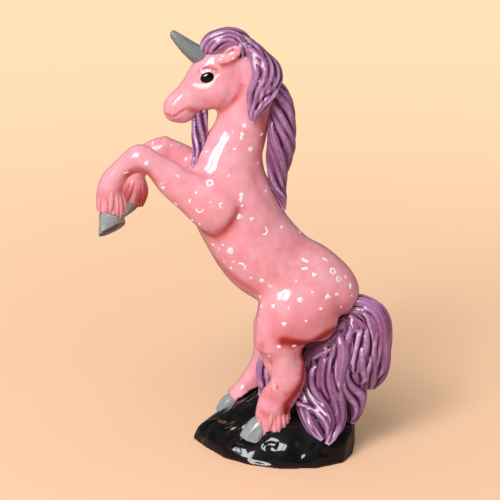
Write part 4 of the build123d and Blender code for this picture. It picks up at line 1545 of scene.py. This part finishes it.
def buildRock():
    rock = meltTogether("rockBase", ["base_mound"], rockSettings["voxel"])
    mesh = rock.data
    smoothMesh(mesh, rounds=4)
    places, ends = readPlaces(mesh), readEdges(mesh)
    soft = levelled(places, ends, rockSettings["softRounds"])
    # what the smoothing took off the rock's own form is mostly given back
    soft += rockSettings["givenBack"] * (soft - levelled(soft, ends, rockSettings["softRounds"]))
    share = easedStep(places[:, 2], *rockSettings["footKept"])
    writePlaces(mesh, places + (soft - places) * share[:, None])
    places, normals = readPlaces(mesh), readNormals(mesh)
    outer = outerShare(places, normals)
    places = places + normals * (rockRelief(places) * outer)[:, None]
    writePlaces(mesh, places)
    tree = treeOf(mesh)
    for pixels, width, depth in rockGullies:
        places = carve(places, normals * outer[:, None], castRoute(tree, pixels), width, depth)
    places[:, 2] = places[:, 2].clip(0)
    writePlaces(mesh, places)
    smoothMesh(mesh, rounds=2)
    places = readPlaces(mesh)
    vein = np.zeros(len(places))
    for pixels, width in copperLines:
        distance, along = routeNearness(places, castRoute(tree, pixels))
        line = bell(distance, width) * fadedEnds(along, rockSettings["lineFade"])
        vein = np.maximum(vein, line)
    storeNumber(mesh, "vein", vein)
    storeNumber(mesh, "rim", 1 - easedStep(places[:, 2], 0.6, rockSettings["rimHeight"]))
    settle(rock, ["base_mound"], rockGlaze())


buildRock()

# Flecks of white glaze that stand a little proud of the pink
fleckInputs = {
    "Skin": ("NodeSocketObject", None),
    "Outlines": ("NodeSocketCollection", None),
    "Spacing": ("NodeSocketFloat", 0.0045),
    "Density": ("NodeSocketFloat", 9000.0),
    "Seed": ("NodeSocketInt", 4),
    "Thickness": ("NodeSocketFloat", 0.00028),
    "Wobble": ("NodeSocketFloat", 0.0016),
    "Finish": ("NodeSocketMaterial", None),
}
fleckKinds = 5               # 0 dot, 1 ring, 2 crescent, 3 bar, 4 chip
# px, py, kind, length in pixels, turn in degrees
fleckMarks = [
    (210, 183, 1, 9, 0), (267, 232, 2, 9, 0), (240, 217, 4, 8, 0), (241.5, 197, 3, 11, 100),
    (220.5, 205, 2, 6, 180), (199.5, 212, 2, 8, 250), (192, 220.5, 3, 7, -30), (200, 224.5, 0, 4, 0),
    (176, 204, 3, 5, 80), (163, 188, 0, 5, 0), (162, 184, 0, 3, 0), (282, 227, 0, 5, 0),
    (300, 232, 0, 4, 0), (266, 191, 0, 4, 0), (251, 149, 0, 5, 0), (242, 136, 3, 9, 90),
    (244.5, 126, 0, 5, 0), (262, 134, 4, 5, 30), (147, 163, 0, 6, 0), (235, 149, 0, 4, 0),
    (230, 251, 0, 8, 0), (219.5, 249, 0, 3, 0), (213, 245, 0, 4, 0), (244, 265, 2, 10, 30),
    (231, 268, 0, 4, 0), (251, 278, 0, 3, 0), (262, 281, 0, 5, 0), (270, 286, 3, 5, -60),
    (305, 260.5, 3, 9, -10), (305, 268.5, 3, 8, 15), (314.5, 274.5, 4, 6, 10), (325, 259.5, 3, 7, 0),
    (333, 271, 1, 8, 0), (339, 279, 1, 7, 0), (346, 277, 0, 3, 0), (350.5, 286, 3, 8, -70),
    (328, 296.5, 4, 9, 0), (337, 294, 3, 5, 0), (352, 296, 0, 3, 0), (300, 300, 0, 6, 0),
    (273, 306, 0, 5, 0), (261, 306, 0, 5, 0), (260, 297, 0, 4, 0), (284, 324, 0, 5, 0),
    (337, 326, 0, 4, 0), (279, 347, 0, 4, 0), (294, 346, 0, 5, 0), (269, 356, 0, 4, 0),
    (242, 387, 0, 5, 0), (239, 399, 0, 4, 0), (190, 201, 0, 4, 0), (210, 202, 0, 3, 0),
    (252, 219, 0, 5, 0), (224, 262, 0, 3, 0), (153, 133, 0, 4, 0), (168, 213, 0, 3, 0),
    (233, 131.5, 0, 3, 0), (252.5, 123, 4, 3, 0), (206.5, 152, 0, 3, 0), (126, 172.5, 3, 5, 40),
    (178, 176, 0, 3, 0), (242.5, 205.5, 0, 3, 0), (223, 245, 0, 3, 0), (218, 251, 0, 3, 0),
    (234, 262, 0, 3, 0), (172, 145.5, 0, 3, 0), (152.5, 143, 3, 5, 60), (196, 193, 0, 3, 0),
    (258, 163, 0, 3, 0), (229, 176, 0, 3, 0), (313, 292, 0, 3, 0), (321, 309, 0, 4, 0),
    (296, 281, 0, 3, 0), (289, 308, 0, 3, 0), (306, 321, 0, 3, 0), (341, 307, 4, 4, 0),
]
pixelSize = 0.455            # millimetres across one pixel at the figure
fleckDraws = {
    "oddShare": 0.38,        # share of the scattered flecks that are not plain dots
    "smallest": 0.0011,      # lengths here are in metres, as in the inputs above
    "range": 0.0026,         # what the largest is longer by
    "sink": 0.00004,         # how deep a fleck's rim is let into the skin
}
blobSettings = {"rings": 3, "sides": 12}
ribbonSettings = {"lanes": (-1, -0.55, 0, 0.55, 1), "sides": 14}


def fleckOutlines():
    # closed flat outlines, one unit long, in x and y, with rise from 0 at the rim to 1 inside
    collection = bpy.data.collections.new("fleckOutlines")

    def patch(name, rows):
        places = [point for row in rows for point in row]
        across = len(rows[0])
        faces = []
        for r in range(len(rows) - 1):
            for c in range(across - 1):
                a = r * across + c
                faces.append((a, a + 1, a + across + 1, a + across))
        mesh = bpy.data.meshes.new(name)
        mesh.from_pydata([(x, y, 0) for x, y, rise in places], [], faces)
        storeNumber(mesh, "rise", [rise for x, y, rise in places])
        clay = clayOf(mesh)
        bmesh.ops.remove_doubles(clay, verts=clay.verts, dist=1e-5)
        pour(clay, mesh)
        collection.objects.link(bpy.data.objects.new(name, mesh))

    def blob(name, radiusAt):
        rings, sides = blobSettings["rings"], blobSettings["sides"]
        rows = []
        for ring in range(rings + 1):
            share = ring / rings
            row = []
            for side in range(sides + 1):
                turn = fullTurn * (side % sides) / sides
                reach = 0.5 * radiusAt(turn) * share
                row.append((reach * math.cos(turn), reach * math.sin(turn), 1 - share**3))
            rows.append(row)
        patch(name, rows)

    def ribbon(name, sweep, radius, width):
        # part of a ring, narrower towards its ends, or the whole ring
        sides = ribbonSettings["sides"]
        whole = sweep == fullTurn
        rows = []
        for lane in ribbonSettings["lanes"]:
            row = []
            for step in range(sides + 1):
                along = step / sides
                turn = (along - 0.5) * sweep
                full = 1 if whole else math.sin(math.pi * along) ** 0.5
                reach = radius + lane * width * max(full, 0.05)
                shift = 0 if whole else radius
                row.append((reach * math.cos(turn) - shift, reach * math.sin(turn), 1 - lane**2))
            rows.append(row)
        patch(name, rows)

    blob("outline0dot", lambda turn: 1 + 0.12 * math.sin(2 * turn + 0.4) + 0.08 * math.sin(3 * turn))
    ribbon("outline1ring", fullTurn, 0.34, 0.15)
    ribbon("outline2crescent", 3.4, 0.42, 0.17)
    blob("outline3bar", lambda turn: (
        0.3 + 0.7 * abs(math.cos(turn)) ** 1.5 + 0.05 * math.sin(3 * turn)))
    blob("outline4chip", lambda turn: (
        0.78 + 0.22 * math.cos(3 * turn) + 0.07 * math.sin(2 * turn)))
    return collection


def scatteredFlecks(maker, skinMesh):
    # points on the hidden side, each with the kind, size and turn of its fleck
    seed = maker.given("Seed")
    loose = maker.add("GeometryNodeDistributePointsOnFaces", {"distribute_method": "POISSON"}, {
        "Mesh": skinMesh, "Distance Min": maker.given("Spacing"),
        "Density Max": maker.given("Density"), "Density Factor": maker.named("fleckField"),
        "Seed": seed,
    })
    facing = loose.other(1)
    number = maker.add("GeometryNodeInputIndex")
    draw = maker.random(0.0, 1.0, number, seed + 11)
    odd = maker.calculated("GREATER_THAN", draw, 1 - fleckDraws["oddShare"])
    size = maker.calculated("POWER", maker.random(0.0, 1.0, number, seed + 12), 2.0)
    for name, value in {
        "kind": maker.calculated("FLOOR", odd * (draw * fleckKinds)),
        "size": fleckDraws["smallest"] + size * fleckDraws["range"],
        "turn": maker.random(0.0, fullTurn, number, seed + 13),
    }.items():
        loose = maker.stored(loose, name, value)
    return maker.stored(loose, "facing", facing, "FLOAT_VECTOR")


def fleckTree():
    maker = TreeMaker("flecksOnGlaze", fleckInputs)
    original = {"transform_space": "ORIGINAL"}
    skinMesh = maker.add("GeometryNodeObjectInfo", original, {"Object": maker.given("Skin")}, 4)
    outlines = maker.add("GeometryNodeCollectionInfo", original, {
        "Collection": maker.given("Outlines"), "Separate Children": True, "Reset Children": True,
    })
    scattered = scatteredFlecks(maker, skinMesh)
    placedByHand = maker.add("GeometryNodeMeshToPoints", {}, {"Mesh": maker.given("Geometry")})
    points = maker.add("GeometryNodeJoinGeometry")
    for group in (scattered, placedByHand):
        maker.tree.links.new(group.socket, points.socket.node.inputs[0])
    aligned = maker.add("FunctionNodeAlignRotationToVector", {"axis": "Z"}, {
        "Vector": maker.named("facing", "FLOAT_VECTOR"),
    })
    sockets = {"Axis": (0, 0, 1), "Angle": maker.named("turn")}
    spin = maker.add("FunctionNodeAxisAngleToRotation", {}, sockets)
    rotation = maker.add("FunctionNodeRotateRotation", {"rotation_space": "LOCAL"}, {
        "Rotation": aligned, "Rotate By": spin,
    })
    placed = maker.add("GeometryNodeInstanceOnPoints", {}, {
        "Points": points, "Instance": outlines, "Pick Instance": True,
        "Instance Index": maker.named("kind"), "Rotation": rotation, "Scale": maker.named("size"),
    })
    real = maker.add("GeometryNodeRealizeInstances", {}, {0: placed})
    # the outlines are pushed about, then laid on the skin and raised inside
    cloud = maker.add("ShaderNodeTexNoise", {}, {"Scale": 800.0, "Detail": 1.0}, 1)
    centred = maker.vector("SUBTRACT", cloud, (0.5, 0.5, 0.5))
    wobble = maker.vector("SCALE", centred, maker.given("Wobble"))
    real = maker.add("GeometryNodeSetPosition", {}, {"Geometry": real, "Offset": wobble})
    sockets = {"Target": skinMesh}
    near = maker.add("GeometryNodeProximity", {"target_element": "FACES"}, sockets)
    sockets = {"Mesh": skinMesh, "Value": maker.add("GeometryNodeInputNormal")}
    facing = maker.add("GeometryNodeSampleNearestSurface", {"data_type": "FLOAT_VECTOR"}, sockets)
    lift = maker.named("rise") * maker.given("Thickness") - fleckDraws["sink"]
    return maker.close(maker.add("GeometryNodeSetPosition", {}, {
        "Geometry": real,
        "Position": maker.vector("ADD", near, maker.vector("SCALE", facing, lift)),
    }))


def fleckField(places):
    # where flecks are scattered: the trunk and, thinner, the rump, on the hidden side alone
    x, y, z = places.T
    hidden = easedStep(y, 3, 8)
    trunk = easedStep(z, 60, 95) * (1 - easedStep(z, 138, 165)) * (1 - easedStep(-x, 24, 48))
    rump = 0.5 * easedStep(z, 40, 70) * (1 - easedStep(z, 95, 110))
    return (hidden * np.maximum(trunk, rump)).clip(0, 1)


def buildFlecks():
    storeNumber(skin.data, "fleckField", fleckField(readPlaces(skin.data)))
    tree = treeOf(skin.data)
    spots, kinds, sizes, turns, facings = [], [], [], [], []
    for px, py, kind, length, turn in fleckMarks:
        hit, facing = seenAt(tree, px, py)
        if hit is not None:
            spots.append(tuple(hit))
            kinds.append(kind)
            sizes.append(length * pixelSize * millimetre)
            turns.append(math.radians(turn))
            facings.append(tuple(facing))
    marks = bpy.data.meshes.new("glazeFlecks")
    marks.from_pydata(spots, [], [])
    for name, values in {"kind": kinds, "size": sizes, "turn": turns}.items():
        storeNumber(marks, name, values)
    storeVector(marks, "facing", facings)
    piece = addObject("glazeFlecks", marks)
    outlines = fleckOutlines()
    finish = fleckGlaze()
    chosen = {"Skin": skin, "Outlines": outlines, "Finish": finish}
    piece.data = grownMesh(piece, fleckTree(), chosen)
    for outline in list(outlines.objects):
        bpy.data.objects.remove(outline)
    bpy.data.collections.remove(outlines)
    settle(piece, [], finish)


buildFlecks()

# Floor and light
floorSettings = {
    "radius": 4.2,
    "fade": (0.15, 1.6),     # distances between which near turns into far
    "glowFade": (-0.35, 0.85),
    "near": glazeColour(241, 196, 163),
    "far": glazeColour(255, 222, 180),
    "farGlow": (0.335, 0.25, 0.15, 1.0),
    "bounced": glazeColour(230, 202, 186),       # what the floor throws back on the figure
    "mirrored": glazeColour(150, 118, 102),      # darker in the glaze, as in a studio
}
lightSettings = {
    "world": 0.36,
    "worldColour": (1.0, 0.985, 0.95, 1.0),
    "mirrored": (0.15, 0.145, 0.15, 1.0),      # darker in the glaze, as in a studio
    "sun": 1.40, "sunAngle": 40.0, "sunTurn": (36.0, -30.0),
    "fillSize": (0.28, 0.38), "fillPower": 4.3, "fillBehind": 0.02,
    "windowPlace": (-0.42, -0.62, 0.66), "windowAim": (0.0, 0.0, 0.11),
    "paneSize": (0.21, 0.50), "paneOffset": 0.12, "panePower": 4.6,
}


def makeFloor():
    clay = bmesh.new()
    bmesh.ops.create_circle(clay, cap_ends=True, segments=96, radius=floorSettings["radius"])
    mesh = pour(clay, bpy.data.meshes.new("floor"))
    floor = addObject("floor", mesh)
    maker = GlazeMaker("floorPaper")
    distance = maker.add("ShaderNodeVectorMath", {"operation": "LENGTH"}, {0: maker.place()}, 1)
    seen = maker.add("ShaderNodeLightPath", output=0)
    mirrored = maker.add("ShaderNodeLightPath", output=3)
    away = maker.window(distance, *floorSettings["fade"])
    tint = maker.blend(away, floorSettings["near"], floorSettings["far"])
    tint = maker.blend(seen, floorSettings["bounced"], tint)
    tint = maker.blend(mirrored, tint, floorSettings["mirrored"])
    # painted light: for camera rays the floor glows, more with distance, evening out the lamps' fall-off
    # and lightening the figure's shadow near it
    glow = maker.window(distance, *floorSettings["glowFade"]) * seen
    mesh.materials.append(maker.finish({
        "Base Color": tint, "Roughness": 0.9, "Specular IOR Level": 0.1,
        "Emission Color": maker.blend(glow, (0, 0, 0, 1), floorSettings["farGlow"]),
        "Emission Strength": 1.0,
    }))


def makeWorld():
    world = bpy.data.worlds.new("studio")
    world.use_nodes = True
    maker = NodeMaker(world.node_tree)
    mirrored = maker.add("ShaderNodeLightPath").other("Is Glossy Ray")
    background = world.node_tree.nodes["Background"]
    shade = maker.blend(mirrored, lightSettings["worldColour"], lightSettings["mirrored"])
    maker.feed(background.inputs["Color"], shade)
    maker.feed(background.inputs["Strength"], lightSettings["world"])
    bpy.context.scene.world = world


def makeLights():
    sun = bpy.data.lights.new("softKey", "SUN")
    sun.energy = lightSettings["sun"]
    sun.angle = math.radians(lightSettings["sunAngle"])
    sunHolder = addObject("softKey", sun)
    tilt, turn = lightSettings["sunTurn"]
    sunHolder.rotation_euler = (math.radians(tilt), 0, math.radians(turn))
    sunHolder.visible_glossy = False
    place = Vector(lightSettings["windowPlace"])
    facing = (Vector(lightSettings["windowAim"]) - place).to_track_quat("-Z", "Y")
    # the fill lights the figure, and the two panes are what its gloss mirrors
    for name, aside in (("fill", 0.0), ("pane", -1.0), ("pane", 1.0)):
        panel = bpy.data.lights.new(name + "Light", "AREA")
        panel.shape = "RECTANGLE"
        panel.size, panel.size_y = lightSettings[name + "Size"]
        panel.energy = lightSettings[name + "Power"]
        holder = addObject(name + "Light", panel)
        behind = lightSettings["fillBehind"] if name == "fill" else 0.0
        offset = Vector((aside * lightSettings["paneOffset"], 0, behind))
        holder.location = place + facing @ offset
        holder.rotation_euler = facing.to_euler()
        holder.visible_glossy = name == "pane"
        holder.visible_diffuse = name == "fill"


makeFloor()
makeWorld()
makeLights()
bpy.context.scene.view_settings.view_transform = "Standard"
print("stage ready")
